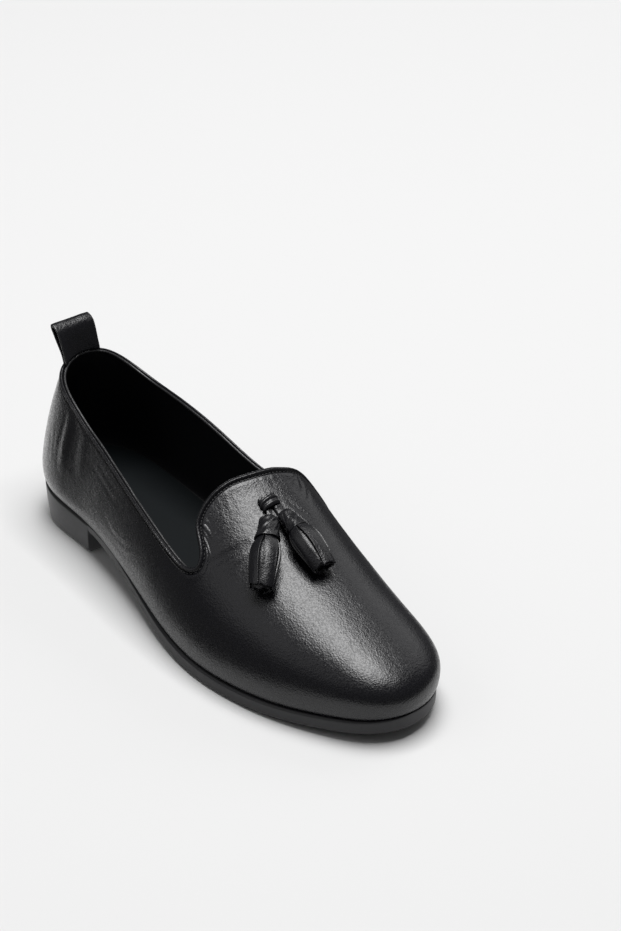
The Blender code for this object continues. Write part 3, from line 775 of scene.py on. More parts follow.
def thread():
    """Waxed black thread with a twist."""
    made = Finish("waxed_thread", IOR=1.5)
    patches = made.group(PATCHES, Broad=200.0, Small=900.0)
    tone = made.colours(patches.outputs["Tone"], (0.012, 0.012, 0.013), (0.03, 0.03, 0.031))
    gloss = made.spread(patches.outputs["Gloss"], 0.4, 0.6)
    normal = made.bumped(noise_node(made.tree, made.stretched((1.0, 1.0, 3.0)), 2500.0), 0.05 * MM)
    return made.feed(Base_Color=tone, Roughness=gloss, Normal=normal)


UPPER_LEATHER = leather("black_grained_leather", (0.0028, 0.0028, 0.0044), (0.0050, 0.0049, 0.0070),
                        0.30, 1300.0, 0.075 * MM)
TASSEL_LEATHER = leather("black_tassel_leather", (0.0028, 0.0028, 0.0042), (0.0056, 0.0055, 0.0075),
                         0.31, 1500.0, 0.075 * MM)
EDGE_LEATHER = leather("black_edge_leather", (0.0030, 0.0030, 0.0044), (0.0056, 0.0055, 0.0072),
                       0.32, 2000.0, 0.03 * MM)
LINING_LEATHER = lining("black_lining_leather", (0.005, 0.005, 0.006), (0.008, 0.008, 0.0095), 0.50, 0.4)
INSOLE_LEATHER = lining("teal_black_insole_leather", (0.002, 0.0034, 0.0042), (0.004, 0.006, 0.0072),
                        0.60, 0.18)
SOLE_RUBBER = rubber()
STITCH_THREAD = thread()


# The upper

# Folds of the leather: half width and height (a trough where negative), then the places on the skin that the
# fold runs through, all in millimetres
FOLDS = (
    (3.4, 0.34, ((-90, -21, 67), (-90, -22, 57), (-92, -24, 47), (-93, -25, 34))),
    (6.0, -0.44, ((-83, -21, 66), (-84, -23, 53), (-85, -25, 38))),
    (1.9, -0.08, ((-106, -21, 54), (-104, -23, 43), (-105, -24, 34))),
    (1.9, -0.08, ((-100, -22, 57), (-101, -23, 45), (-100, -24, 36))),
    (1.9, -0.12, ((-72, -25, 52), (-55, -27, 47), (-44, -29, 45), (-32, -30, 48))),
    (1.7, -0.09, ((-64, -25, 55), (-50, -27, 51), (-36, -29, 49))),
    (2.2, -0.10, ((-56, -28, 35), (-42, -31, 29), (-30, -33, 30), (-14, -35, 37))),
    (2.2, -0.08, ((-47, -30, 26), (-34, -33, 25), (-20, -35, 29), (-6, -37, 36))),
    (3.0, -0.45, ((28, -31, 48), (33, -23, 54), (36, -13, 59))),
    (2.4, -0.22, ((37, -30, 47), (41, -22, 52), (42, -14, 56))),
    (1.5, -0.32, ((30, 8, 67), (37, 11, 63), (43, 14, 60))),
    (1.4, -0.28, ((33, 7, 65), (38, 10, 63), (44, 11, 60))),
    (1.4, -0.22, ((29, 12, 67), (35, 15, 64), (41, 18, 61))),
    (1.4, -0.25, ((43, -6, 58), (45, -1, 59), (47, 2, 58))),
    (1.4, -0.25, ((46, -7, 57), (48, -3, 57), (51, 0, 56))),
    (1.4, -0.18, ((50, -7, 55), (52, -3, 55), (55, 0, 54))),
    (1.3, -0.30, ((18, 24, 70), (23, 21, 69), (27, 18, 68))),
    (1.3, -0.28, ((21, 26, 69), (26, 23, 67), (30, 19, 66))),
    (1.3, -0.24, ((25, 27, 66), (29, 24, 65), (33, 21, 64))),
    (3.0, -0.22, ((-60, 26, 50), (-30, 28, 46), (0, 32, 41), (24, 37, 34))),
    (2.4, -0.18, ((-50, 28, 38), (-22, 30, 34), (6, 35, 30))),
    (2.0, -0.16, ((-80, 25, 52), (-52, 26, 53), (-26, 28, 51))),
    (2.2, 0.25, ((-96, 24, 60), (-97, 25, 48), (-98, 26, 36))),
)
FOLD_STEPS = 48
FOLD_REACH = 1.8
FOLD_FADE_POWER = 0.7
FOLD_SHOULDER = 1.1
# Beads and grooves of the turned edge by the distance below it, and of the heel's seam by the distance from
# it: height, middle and half width in millimetres
COLLAR_BEADS = ((0.65, 0.70, 0.85), (-0.75, 1.85, 0.70))
TAB_BEADS = ((0.85, 0.95, 1.15), (-0.65, 2.45, 0.75), (0.22, 4.4, 3.0))
SEAM_BEADS = ((0.16, 1.1, 1.0), (-0.40, 0.0, 0.7))
# Gathers and dents beside the tab's groove in millimetres: their size along and below the edge, where they
# begin after the lateral throat and below the edge, where they end below it, the middle and half width of
# each bend of the tab from its throat, and their heights
GATHER_SIZE = (1.9, 7.0)
DENT_SIZE = (3.6, 3.2)
PUCKER_START = (11.0, 24.0)
PUCKER_TOP = (2.6, 4.2)
PUCKER_FOOT = (7.0, 17.0)
LATERAL_BEND = (20, 24)
MEDIAL_BEND = (-22, 20)
GATHER_HEIGHT = 0.12
LATERAL_GATHER = 0.26
MEDIAL_GATHER = 0.12
DENT_HEIGHT = 0.26
# Slow unevenness of the whole skin: size, seed and height in millimetres
UNEVEN = ((26, 17.0, 0.22), (11, 23.0, 0.06))
# The turned edge over the topline, from outside to inside: lift and way out in millimetres
TURNED_EDGE = ((0.26, 0.02), (0.34, -0.28), (0.18, -0.60), (-0.75, -0.92))
BACK_ROWS = 12
LINING_BACK_ROWS = 8
LINING_GAP = 0.12 * MM
# Waves of the lining in millimetres: size and height all over and where it is crumpled, and where along and
# across the shoe that is
LINING_WAVE_SIZE = 14
LINING_WAVE = 0.12
CRUMPLE_SIZE = 5
CRUMPLE = 0.35
CRUMPLE_START = (-60, -15)
CRUMPLE_END = (20, 45)
CRUMPLE_SIDE = (10, 26)
# The binding in millimetres: its radius and the unevenness of that, its way in from the edge, less at the
# tab, its drop below the edge, more at the tab, its slow waves, and its ripples and their reach from the seam
BINDING_SIDES = 12
BINDING_TALL = 1.15
BINDING_RADIUS = 0.68
BINDING_UNEVEN = 0.10
BINDING_INSET = 1.80
BINDING_TAB_INSET = 0.30
BINDING_DROP = 0.05
BINDING_TAB_DROP = 0.60
BINDING_WAVE = 0.16
BINDING_RIPPLE = 0.75
BINDING_RIPPLE_REACH = 18.0
STITCH_DEPTH = 2.45 * MM
STITCH_PITCH = 1.75 * MM
STITCH_LENGTH = 1.35 * MM
STITCH_RADIUS = 0.26 * MM
STITCH_FLATNESS = 0.8
STITCH_SINK = 0.20 * MM
STITCH_RAISE = 0.05 * MM
STITCHES_PAST_THROAT = 4
LOOP_TICKS = (0.8 * MM, 2.2 * MM)
TICK_INSET = 1.8 * MM
TICK_LIFT = 1.0 * MM


def fold_relief(points):
    """Height of the folds over the skin: each dies out at its ends and has a soft shoulder on either side."""
    relief = np.zeros(points.shape[:2])
    for half, height, places in FOLDS:
        places = np.array(places, float) * MM
        knots = np.arange(len(places), dtype=float)
        line = curve(knots, places, np.linspace(0, knots[-1], FOLD_STEPS))
        reach = FOLD_REACH * half * MM
        near = np.all((points > line.min(axis=0) - reach) & (points < line.max(axis=0) + reach), axis=2)
        away = np.linalg.norm(points[near][:, None] - line, axis=2)
        across = np.clip(away.min(axis=1) / (half * MM), 0.0, FOLD_REACH)
        part = away.argmin(axis=1) / (FOLD_STEPS - 1)
        fade = (4 * part * (1 - part)) ** FOLD_FADE_POWER
        soft = (1 - (across / FOLD_REACH) ** 2) ** 2
        relief[near] += height * MM * fade * soft * (1 - FOLD_SHOULDER * across**2)
    return relief


def pucker_relief(skin):
    """Small gathers of the leather beside the tab's stitched groove, deepest at its lateral bend."""
    below = skin.below / MM
    along = np.broadcast_to(skin.along, below.shape) / MM
    flat = np.zeros_like(below)
    gathers = noise_at(np.stack([along / GATHER_SIZE[0], below / GATHER_SIZE[1], flat], -1), 1.0, 12.0)
    dents = noise_at(np.stack([along / DENT_SIZE[0], below / DENT_SIZE[1], flat], -1), 1.0, 31.0)
    lateral, medial = (skin.along[c] / MM for c in skin.throats)
    bend = bump(along, lateral + LATERAL_BEND[0], LATERAL_BEND[1])
    far = bump(along, medial + MEDIAL_BEND[0], MEDIAL_BEND[1])
    clear = smooth_step(*PUCKER_START, along - lateral)
    zone = smooth_step(*PUCKER_TOP, below) * (1 - smooth_step(*PUCKER_FOOT, below)) * skin.tab * clear
    gathered = gathers * (GATHER_HEIGHT + LATERAL_GATHER * bend + MEDIAL_GATHER * far)
    return zone * (gathered + dents * DENT_HEIGHT * bend) * MM


def beads(table, distance):
    """Height of a row of beads and grooves at a distance, both in millimetres."""
    return sum(height * bump(distance, middle, half) for height, middle, half in table)


def edge_relief(skin):
    """Height of the turned edge, its groove and the padded leather beside it over the smooth skin."""
    below = skin.below / MM
    return (beads(COLLAR_BEADS, below) * (1 - skin.tab) + beads(TAB_BEADS, below) * skin.tab) * MM


def skin_relief(skin):
    """All that stands out from the smooth skin or sinks into it."""
    away = smooth_step(2.0, 5.0, skin.below / MM) * smooth_step(1.0, 6.0, skin.above / MM)
    slow = sum(noise_at(skin.points, size * MM, seed) * height for size, seed, height in UNEVEN)
    seam = smooth_step(2.0, 3.0, skin.below / MM) * beads(SEAM_BEADS, skin.from_seam / MM)
    folds = away * (fold_relief(skin.points) + slow * MM)
    return edge_relief(skin) + pucker_relief(skin) + folds + seam * MM


def creased_zones(skin):
    """How far the leather is wrinkled: along the shoe on the quarters, upright at the heel and the tab."""
    x, z = skin.points[..., 0] / MM, skin.points[..., 2] / MM
    below = skin.below / MM
    patchy = np.clip(0.55 + 0.9 * noise_at(skin.points, 22 * MM, 41.0), 0.0, 1.0)
    quarter = smooth_step(-100, -70, x) * (1 - smooth_step(0, 35, x)) * smooth_step(2, 6, below)
    quarter = quarter * smooth_step(16, 28, z) * (0.35 + 0.65 * bump(below, 14, 26))
    heel = (1 - smooth_step(-95, -75, x)) * smooth_step(20, 34, z) * smooth_step(2, 6, below)
    tab = skin.tab * smooth_step(2.5, 5, below) * (1 - smooth_step(16, 34, below))
    return quarter * patchy, np.maximum(heel * patchy, 0.8 * tab)


def make_upper():
    skin = Skin(SKIN_COLUMNS, SKIN_ROWS, EDGE_ROWS)
    relief = skin_relief(skin)
    outer = skin.points + skin.normals * relief[..., None]
    rim_out = skin.normals[-1]
    top = skin.points[-1]
    turned = []
    for lift, out in TURNED_EDGE:
        turned.append(top + skin.up * lift * MM + rim_out * out * MM)
    back_rows = np.linspace(len(skin.points) - 4, 0, BACK_ROWS).astype(int)
    back = skin.points[back_rows] - skin.normals[back_rows] * LEATHER_THICKNESS
    points = np.concatenate([outer, np.array(turned), back])
    piece = mesh_piece("upper_leather", points, ring_faces(len(points), SKIN_COLUMNS, True))
    face_out(piece)
    rubbed_and_sheen = np.zeros(points.shape[:2])
    rubbed_and_sheen[:len(outer)] = 0.8 * bump(skin.below / MM, 0.8, 0.8)
    point_values(piece, "rubbed_and_sheen", rubbed_and_sheen)
    for name, zone in zip(("creased_along", "creased_upright"), creased_zones(skin)):
        values = np.zeros(points.shape[:2])
        values[:len(outer)] = zone
        point_values(piece, name, values)
    smooth(piece, 60)
    dress(piece, UPPER_LEATHER, "upper_leather", "upper")
    return skin


def make_lining():
    skin = Skin(LINING_COLUMNS, LINING_ROWS, LINING_EDGE_ROWS)
    x, y = skin.points[..., 0] / MM, skin.points[..., 1] / MM
    along = smooth_step(*CRUMPLE_START, x) * (1 - smooth_step(*CRUMPLE_END, x))
    crumpled = along * smooth_step(*CRUMPLE_SIDE, y)
    wave = noise_at(skin.points, LINING_WAVE_SIZE * MM, 3.0) * LINING_WAVE
    wave += noise_at(skin.points, CRUMPLE_SIZE * MM, 19.0) * CRUMPLE * crumpled
    depth = WALL + wave * MM * smooth_step(0.0, 8.0, skin.above / MM) * smooth_step(0.0, 5.0, skin.below / MM)
    inner = skin.points - skin.normals * depth[..., None]
    outer_rows = np.linspace(len(skin.points) - 1, 0, LINING_BACK_ROWS).astype(int)
    outer = skin.points[outer_rows] - skin.normals[outer_rows] * (LEATHER_THICKNESS + LINING_GAP)
    points = np.concatenate([inner, outer])
    piece = mesh_piece("upper_lining", points, ring_faces(len(points), LINING_COLUMNS, True))
    face_out(piece)
    smooth(piece, 60)
    dress(piece, LINING_LEATHER, "insole_lining")


def make_binding(skin):
    """The lining's rolled edge: a thin wavy bead just inside the turned edge."""
    top, out, up = skin.points[-1], skin.normals[-1], skin.up
    wavy = noise_at(top, 9 * MM, 5.0)
    radius = (BINDING_RADIUS + BINDING_UNEVEN * wavy)[:, None] * MM
    heel = bump(skin.from_seam / MM, 0.0, BINDING_RIPPLE_REACH) * noise_at(top, 4.5 * MM, 14.0)
    waves = BINDING_DROP + BINDING_TAB_DROP * skin.tab + BINDING_WAVE * noise_at(top, 12 * MM, 9.0)
    drop = (waves + BINDING_RIPPLE * heel)[:, None] * MM
    middle = top - out * (BINDING_INSET - BINDING_TAB_INSET * skin.tab)[:, None] * MM - up * drop
    points = []
    for k in range(BINDING_SIDES):
        a = 2 * math.pi * k / BINDING_SIDES
        points.append(middle + out * math.cos(a) * radius + up * math.sin(a) * radius * BINDING_TALL)
    piece = mesh_piece("collar_binding", np.array(points), ring_faces(BINDING_SIDES, len(top), True))
    face_out(piece)
    smooth(piece, 80)
    point_values(piece, "rubbed_and_sheen", np.full(len(piece.data.vertices), 0.5))
    dress(piece, EDGE_LEATHER, "upper_leather")


def stitch_frames(skin):
    """Place, run and outward direction of each stitch: the tab's groove, and two ticks at the loop's foot."""
    row = int(np.argmin(np.abs(skin.below[:, skin.throats[0]] - STITCH_DEPTH)))
    first, last = skin.along[skin.throats[0]], skin.along[skin.throats[1]]
    past = STITCHES_PAST_THROAT * STITCH_PITCH
    frames = []
    for place in np.arange(first - past, last + past, STITCH_PITCH):
        c = int(np.argmin(np.abs(skin.along - place)))
        run = skin.points[row, (c + 2) % SKIN_COLUMNS] - skin.points[row, c - 2]
        out = skin.normals[row, c]
        sunk = STITCH_SINK * skin.tab[c] - STITCH_RAISE
        frames.append((skin.points[row, c] - out * sunk, run / np.linalg.norm(run), out))
    for place in LOOP_TICKS:
        c = int(np.argmin(np.abs(skin.along - place)))
        out, up = skin.normals[-1, c], skin.up[c]
        frames.append((skin.points[-1, c] - out * TICK_INSET + up * TICK_LIFT, out, up))
    return frames


def in_fixed_order(piece):
    """Points and faces of a mesh sorted by place, because a sphere's own order changes from run to run."""
    spots = spots_of(piece)
    order = np.lexsort(np.round(spots, 7).T)
    rank = np.argsort(order)
    faces = []
    for face in piece.data.polygons:
        corners = [int(rank[i]) for i in face.vertices]
        first = corners.index(min(corners))
        faces.append(tuple(corners[first:] + corners[:first]))
    return spots[order], sorted(faces)


def make_stitches(skin):
    """Short capsules of thread, one after another."""
    bpy.ops.object.select_all(action="DESELECT")
    bpy.ops.mesh.primitive_uv_sphere_add(segments=8, ring_count=6, radius=STITCH_RADIUS)
    pattern = bpy.context.object
    longer = STITCH_LENGTH / (2 * STITCH_RADIUS)
    edit_all(pattern, bpy.ops.transform.resize, value=(longer, 1.0, STITCH_FLATNESS))
    shape, shape_faces = in_fixed_order(pattern)
    bpy.data.objects.remove(pattern, do_unlink=True)
    points, faces = [], []
    for k, (place, run, out) in enumerate(stitch_frames(skin)):
        side = np.cross(out, run)
        points.append(place + shape[:, :1] * run + shape[:, 1:2] * side + shape[:, 2:] * out)
        faces += [tuple(i + len(shape) * k for i in f) for f in shape_faces]
    piece = mesh_piece("upper_stitches", np.array(points), faces)
    smooth(piece, 80)
    dress(piece, STITCH_THREAD, "upper_leather")


# Sole and insole

SOLE_CREASE_ANGLE = 35
SOLE_CREASE = 0.85
INSOLE_SPREAD = 1.2 * MM
# Least sideways part of a point's outward direction for it to be pushed out
INSOLE_SIDE = 0.3


def make_sole():
    piece = copy_of("unit_sole", "unit_sole_rubber")
    body = bmesh.new()
    body.from_mesh(piece.data)
    crease = body.edges.layers.float.new("crease_edge")
    for edge in body.edges:
        if len(edge.link_faces) == 2 and edge.calc_face_angle() > math.radians(SOLE_CREASE_ANGLE):
            edge[crease] = SOLE_CREASE
    body.to_mesh(piece.data)
    body.free()
    apply_modifier(piece, "SUBSURF", levels=3, render_levels=3)
    smooth(piece, 45)
    dress(piece, SOLE_RUBBER, "sole_rubber", "unit_sole")


def make_insole():
    """The insole's cover, pushed out a little so that it meets the lining all round."""
    piece = copy_of("insole", "insole_cover")
    out = outs_of(piece)
    out[:, 2] = 0.0
    flat = np.linalg.norm(out, axis=1, keepdims=True)
    sideways = np.where(flat > INSOLE_SIDE, out / np.maximum(flat, INSOLE_SIDE), 0.0)
    move_spots(piece, spots_of(piece) + sideways * INSOLE_SPREAD)
    smooth(piece, 50)
    dress(piece, INSOLE_LEATHER, "insole_lining", "insole")


# Pull loop, keeper and thongs

LOOP_WIDTH = 20.6 * MM
LOOP_HEIGHT = 15.6 * MM
LOOP_LEAN = 8.0 * MM
LOOP_LEAN_POWER = 1.3
LOOP_STRAP = 1.3 * MM
LOOP_FOLD_RADIUS = 2.9 * MM
# Half thickness of the folded strap by share of its height, up to the round fold at its top
LOOP_HALVES = ((0.0, 1.45), (0.2, 1.6), (0.45, 2.1), (0.65, 2.7), (0.814, 2.9))
# Distance from the strap's edge, and how much thinner its rounded edge is there
LOOP_EDGES = ((0.0, 0.42), (0.10, 0.20), (0.30, 0.05), (0.7, 0.0))
LOOP_STOPS = 13
LOOP_UNEVEN = 0.10 * MM
KEEPER_RIDGES = 2.5
KEEPER_RIDGE_HEIGHT = 0.22
KEEPER_UNEVEN = 0.12
KEEPER_SHRINK = np.array([0.86, 0.90])
THONG_BEVEL = 0.35 * MM
THONG_ROUND = 0.55 * MM
THONG_UNEVEN = 0.16 * MM


def make_keeper():
    """The keeper of the tassels: a narrow band gathered into ridges over the thongs."""
    piece = copy_of("keeper", "tassel_keeper")
    apply_modifier(piece, "SUBSURF", levels=4, render_levels=4)
    spots = spots_of(piece)
    low, high = spots.min(axis=0), spots.max(axis=0)
    middle = (low + high) / 2
    run = (spots[:, 0] - low[0]) / (high[0] - low[0])
    wave = np.cos(2 * math.pi * (KEEPER_RIDGES * run + 0.12 * noise_at(spots, 5 * MM, 3.0)))
    rise = KEEPER_RIDGE_HEIGHT * wave + KEEPER_UNEVEN * noise_at(spots, 2.2 * MM, 7.0)
    spots += outs_of(piece) * rise[:, None] * MM
    spots[:, :2] = middle[:2] + (spots[:, :2] - middle[:2]) * KEEPER_SHRINK
    move_spots(piece, spots)
    # the crests of the ridges are paler
    point_values(piece, "rubbed_and_sheen", np.clip(wave, 0, 1) * 0.6)
    smooth(piece, 60)
    dress(piece, TASSEL_LEATHER, "upper_leather", "keeper")


def loop_side(thin):
    """One face of the folded strap, from its front foot over the fold to its back foot, drawn in a little."""
    knots, halves = np.array(LOOP_HALVES).T
    shares = np.linspace(0.0, knots[-1], 12)
    half = curve(knots, halves, shares) * MM - thin
    front = np.stack([half, shares * LOOP_HEIGHT], axis=1)
    turns = np.linspace(0.0, math.pi, 15)[1:-1]
    radius = LOOP_FOLD_RADIUS - thin
    height = LOOP_HEIGHT - LOOP_FOLD_RADIUS + radius * np.sin(turns)
    fold = np.stack([radius * np.cos(turns), height], axis=1)
    return np.concatenate([front, fold, front[::-1] * (-1, 1)])


def make_loop(skin):
    """The heel's pull loop: a strap folded softly over, its foot on the topline and its edges rounded."""
    low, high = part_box("pull_loop")
    middle = (low.y + high.y) / 2
    rim = skin.points[-1] - skin.normals[-1] * WALL / 2
    heel = np.flatnonzero((np.abs(rim[:, 1]) < LOOP_WIDTH) & (rim[:, 0] < 0))
    heel = heel[np.argsort(rim[heel, 1])]
    insets = [(edge * MM, thin * MM) for edge, thin in LOOP_EDGES]
    inner = [(y, 0.0) for y in np.linspace(insets[-1][0], LOOP_WIDTH - insets[-1][0], LOOP_STOPS)[1:-1]]
    stops = insets + inner + [(LOOP_WIDTH - edge, thin) for edge, thin in insets[::-1]]
    places = middle - LOOP_WIDTH / 2 + np.array([y for y, thin in stops])
    foot = np.stack([np.interp(places, rim[heel, 1], rim[heel, k]) for k in range(3)], axis=1)
    foot[:, 2] += high.z - LOOP_HEIGHT - foot[:, 2].mean()
    points = []
    for (y, thin), spot in zip(stops, foot):
        ring = np.concatenate([loop_side(thin), loop_side(LOOP_STRAP - thin)[::-1]])
        part = np.clip(ring[:, 1:] / LOOP_HEIGHT, 0.0, 1.0)
        base = spot + (foot.mean(axis=0) - spot) * part * (1, 0, 1)
        base[:, 0] += ring[:, 0] - LOOP_LEAN * part[:, 0] ** LOOP_LEAN_POWER
        base[:, 2] += ring[:, 1]
        points.append(base)
    points = np.array(points)
    count = points.shape[1]
    faces = ring_faces(len(stops), count)
    for start in (0, (len(stops) - 1) * count):
        for i in range(count // 2 - 1):
            far = start + count - 1 - i
            faces.append((start + i, start + i + 1, far - 1, far))
    piece = mesh_piece("heel_pull_loop", points, faces)
    face_out(piece)
    apply_modifier(piece, "SUBSURF", levels=2, render_levels=2)
    spots = spots_of(piece)
    uneven = noise_at(spots, 5 * MM, 2.0) + noise_at(spots, 10 * MM, 5.0)
    spots += outs_of(piece) * uneven[:, None] * LOOP_UNEVEN
    move_spots(piece, spots)
    from_edge = LOOP_WIDTH / 2 - np.abs(spots[:, 1] - middle)
    point_values(piece, "rubbed_and_sheen", 0.9 * (1 - smooth_step(0.2, 1.0, from_edge / MM)))
    smooth(piece, 60)
    dress(piece, UPPER_LEATHER, "upper_leather", "pull_loop")


def make_thong(which, broader):
    """A thong from its solid, made broader and rounded across, with some unevenness."""
    piece = copy_of("thong_" + which, which + "_thong")
    round_edges(piece, THONG_BEVEL, 3)
    apply_modifier(piece, "SUBSURF", levels=3, render_levels=3)
    spots = spots_of(piece)
    middle = spots.mean(axis=0)
    side, rise = np.linalg.svd(spots - middle, full_matrices=False)[2][1:]
    across = (spots - middle) @ side
    rise = rise * np.sign(rise[2])
    sunk = THONG_ROUND * (across / np.abs(across).max()) ** 2
    spots += np.outer(across * (broader - 1), side) - np.outer(sunk, rise)
    uneven = noise_at(spots, 1.6 * MM, 2.0) + noise_at(spots, 4 * MM, 5.0)
    spots += outs_of(piece) * uneven[:, None] * THONG_UNEVEN
    move_spots(piece, spots)
    point_values(piece, "rubbed_and_sheen", np.clip(noise_at(spots, 6 * MM, 4.0), 0, 1) * 0.5)
    smooth(piece, 60)
    dress(piece, TASSEL_LEATHER, "upper_leather", "thong_" + which)


# Tassels

TASSEL_STRIPS = 5
TASSEL_COLUMNS = ("part", "half_width", "half_height")
CAP_ROWS = (
    (0.000, 2.3, 1.8),
    (0.014, 3.5, 2.7),
    (0.045, 4.1, 3.3),
    (0.140, 4.5, 3.7),
    (0.250, 4.9, 4.1),
    (0.350, 5.6, 4.6),
)
CAP_GIRTH = {"lateral": 1.05, "medial": 0.92}
CAP_TWIST = 0.06
CAP_SEEDS = {"lateral": 6.0, "medial": 11.0}
CAP_SIDES = 96
CAP_LINES = 44
# Folds of a gathered cap: their count round it and along it, how they die out to its lip, and their heights
CAP_FOLDS = 3.4
CAP_FOLDS_ALONG = 9.0
CAP_FOLDS_FADE = (1.0, 0.45)
CAP_FOLD_HEIGHT = 0.42
CAP_DENT_HEIGHT = 0.22
CAP_LIP = 0.9 * MM
CAP_WALL = 1.1 * MM
SKIRT_ROWS = (
    (0.290, 4.3, 3.5),
    (0.350, 4.9, 4.0),
    (0.420, 6.0, 4.6),
    (0.520, 6.8, 5.1),
    (0.680, 6.8, 5.1),
    (0.830, 6.3, 4.7),
    (0.940, 5.9, 4.4),
    (1.000, 5.6, 4.2),
)
TASSEL_SLIT_TURN = {"lateral": 76.0, "medial": 72.0}
# The slits between the strips: where they start and how long they are by share, how their width swells, and
# half their width in degrees where closed, and added to that at the top slit and at the others
SLIT_START = 0.08
SLIT_LENGTH = 0.86
SLIT_SWELL = 0.8
SLIT_CLOSED = 1.2
SLIT_TOP = 9.0
SLIT_OTHERS = 6.5
# The strips: points across and along, thickness, bevel, the inset of the inner layer, how much shorter a
# strip may be and how much longer the inner layer is, their curled edges, hollow, ripple and ragged ends
STRIP_ACROSS = 17
STRIP_ALONG = 40
STRIP_THICKNESS = 0.85 * MM
STRIP_BEVEL = 0.18 * MM
LAYER_INSET = 1.15 * MM
STRIP_SHORTER = 0.035
LAYER_LONGER = 0.02
CURL_SHARE = 0.16
CURL_HEIGHT = 0.30 * MM
HOLLOW_DEPTH = 0.1 * MM
RIPPLE_HEIGHT = 0.12 * MM
RAGGED_WAVE = 0.5 * MM
RAGGED_NOISE = 0.7 * MM


def tassel_spine(node, skin):
    """Middle line and cross directions of a tassel's solid, as a function of 0 at its cap to 1 at its end."""
    spots = np.unique(np.round(spots_of(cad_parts[node]), 7), axis=0)
    middle = spots.mean(axis=0)
    axis = np.linalg.svd(spots - middle)[2][0]
    keeper = sum(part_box("keeper"), Vector()) / 2
    if (np.array(keeper) - middle) @ axis > 0:
        axis = -axis
    run = (spots - middle) @ axis
    low, high = run.min(), run.max()
    part = (run - low) / (high - low)
    bend = np.polyfit(part, spots, 2)
    flat = skin.points.reshape(-1, 3)
    up = skin.normals.reshape(-1, 3)[np.argmin(np.linalg.norm(flat - middle, axis=1))]

    def at(share):
        spot = bend[0] * share**2 + bend[1] * share + bend[2]
        ahead = 2 * bend[0] * share + bend[1]
        ahead = ahead / np.linalg.norm(ahead)
        rise = up - (up @ ahead) * ahead
        rise = rise / np.linalg.norm(rise)
        return spot, ahead, rise, np.cross(ahead, rise)

    return at


def profile(table, name, part):
    """One column of a tassel table as a smooth function of the place along the tassel."""
    knots = np.array([row[0] for row in table])
    values = np.array([row[TASSEL_COLUMNS.index(name)] for row in table])
    return float(curve(knots, values, np.array([part]))[0]) * MM


def make_cap(which, spine):
    """The wrapped sleeve at the head of a tassel."""
    points, wraps = [], []
    girth = CAP_GIRTH[which]
    for part in np.linspace(CAP_ROWS[0][0], CAP_ROWS[-1][0], CAP_LINES):
        spot, ahead, rise, side = spine(part)
        wide = profile(CAP_ROWS, "half_width", part) * girth
        tall = profile(CAP_ROWS, "half_height", part) * girth
        for k in range(CAP_SIDES):
            a = 2 * math.pi * k / CAP_SIDES
            points.append(spot + side * wide * math.cos(a) + rise * tall * math.sin(a))
            turned = a + CAP_TWIST * part / CAP_ROWS[1][0]
            wraps.append((CAP_FOLDS * math.cos(turned), CAP_FOLDS * math.sin(turned), CAP_FOLDS_ALONG * part))
    points = np.array(points).reshape(CAP_LINES, CAP_SIDES, 3)
    wraps = np.array(wraps).reshape(CAP_LINES, CAP_SIDES, 3)
    middle = points.mean(axis=1, keepdims=True)
    out = points - middle
    out /= np.linalg.norm(out, axis=2, keepdims=True)
    seed = CAP_SEEDS[which]
    gathered = np.linspace(*CAP_FOLDS_FADE, CAP_LINES)[:, None] * noise_at(wraps, 1.0, seed)
    folds = CAP_FOLD_HEIGHT * gathered + CAP_DENT_HEIGHT * noise_at(points, 3.2 * MM, seed)
    points = points + out * folds[..., None] * MM
    lip = points[-1] - out[-1] * CAP_LIP
    inner = points[-3] - out[-3] * CAP_WALL
    points = np.concatenate([points, lip[None], inner[None]])
    faces = ring_faces(len(points), CAP_SIDES)
    faces.append(tuple(range(CAP_SIDES)))
    faces.append(tuple(range((len(points) - 1) * CAP_SIDES, len(points) * CAP_SIDES)))
    piece = mesh_piece("tassel_" + which + "_cap", points, faces)
    face_out(piece)
    apply_modifier(piece, "SUBSURF", levels=1, render_levels=1)
    smooth(piece, 70)
    point_values(piece, "rubbed_and_sheen", np.clip(noise_at(spots_of(piece), 5 * MM, 8.0), 0, 1) * 0.7)
    dress(piece, TASSEL_LEATHER, "upper_leather", "tassel_" + which)


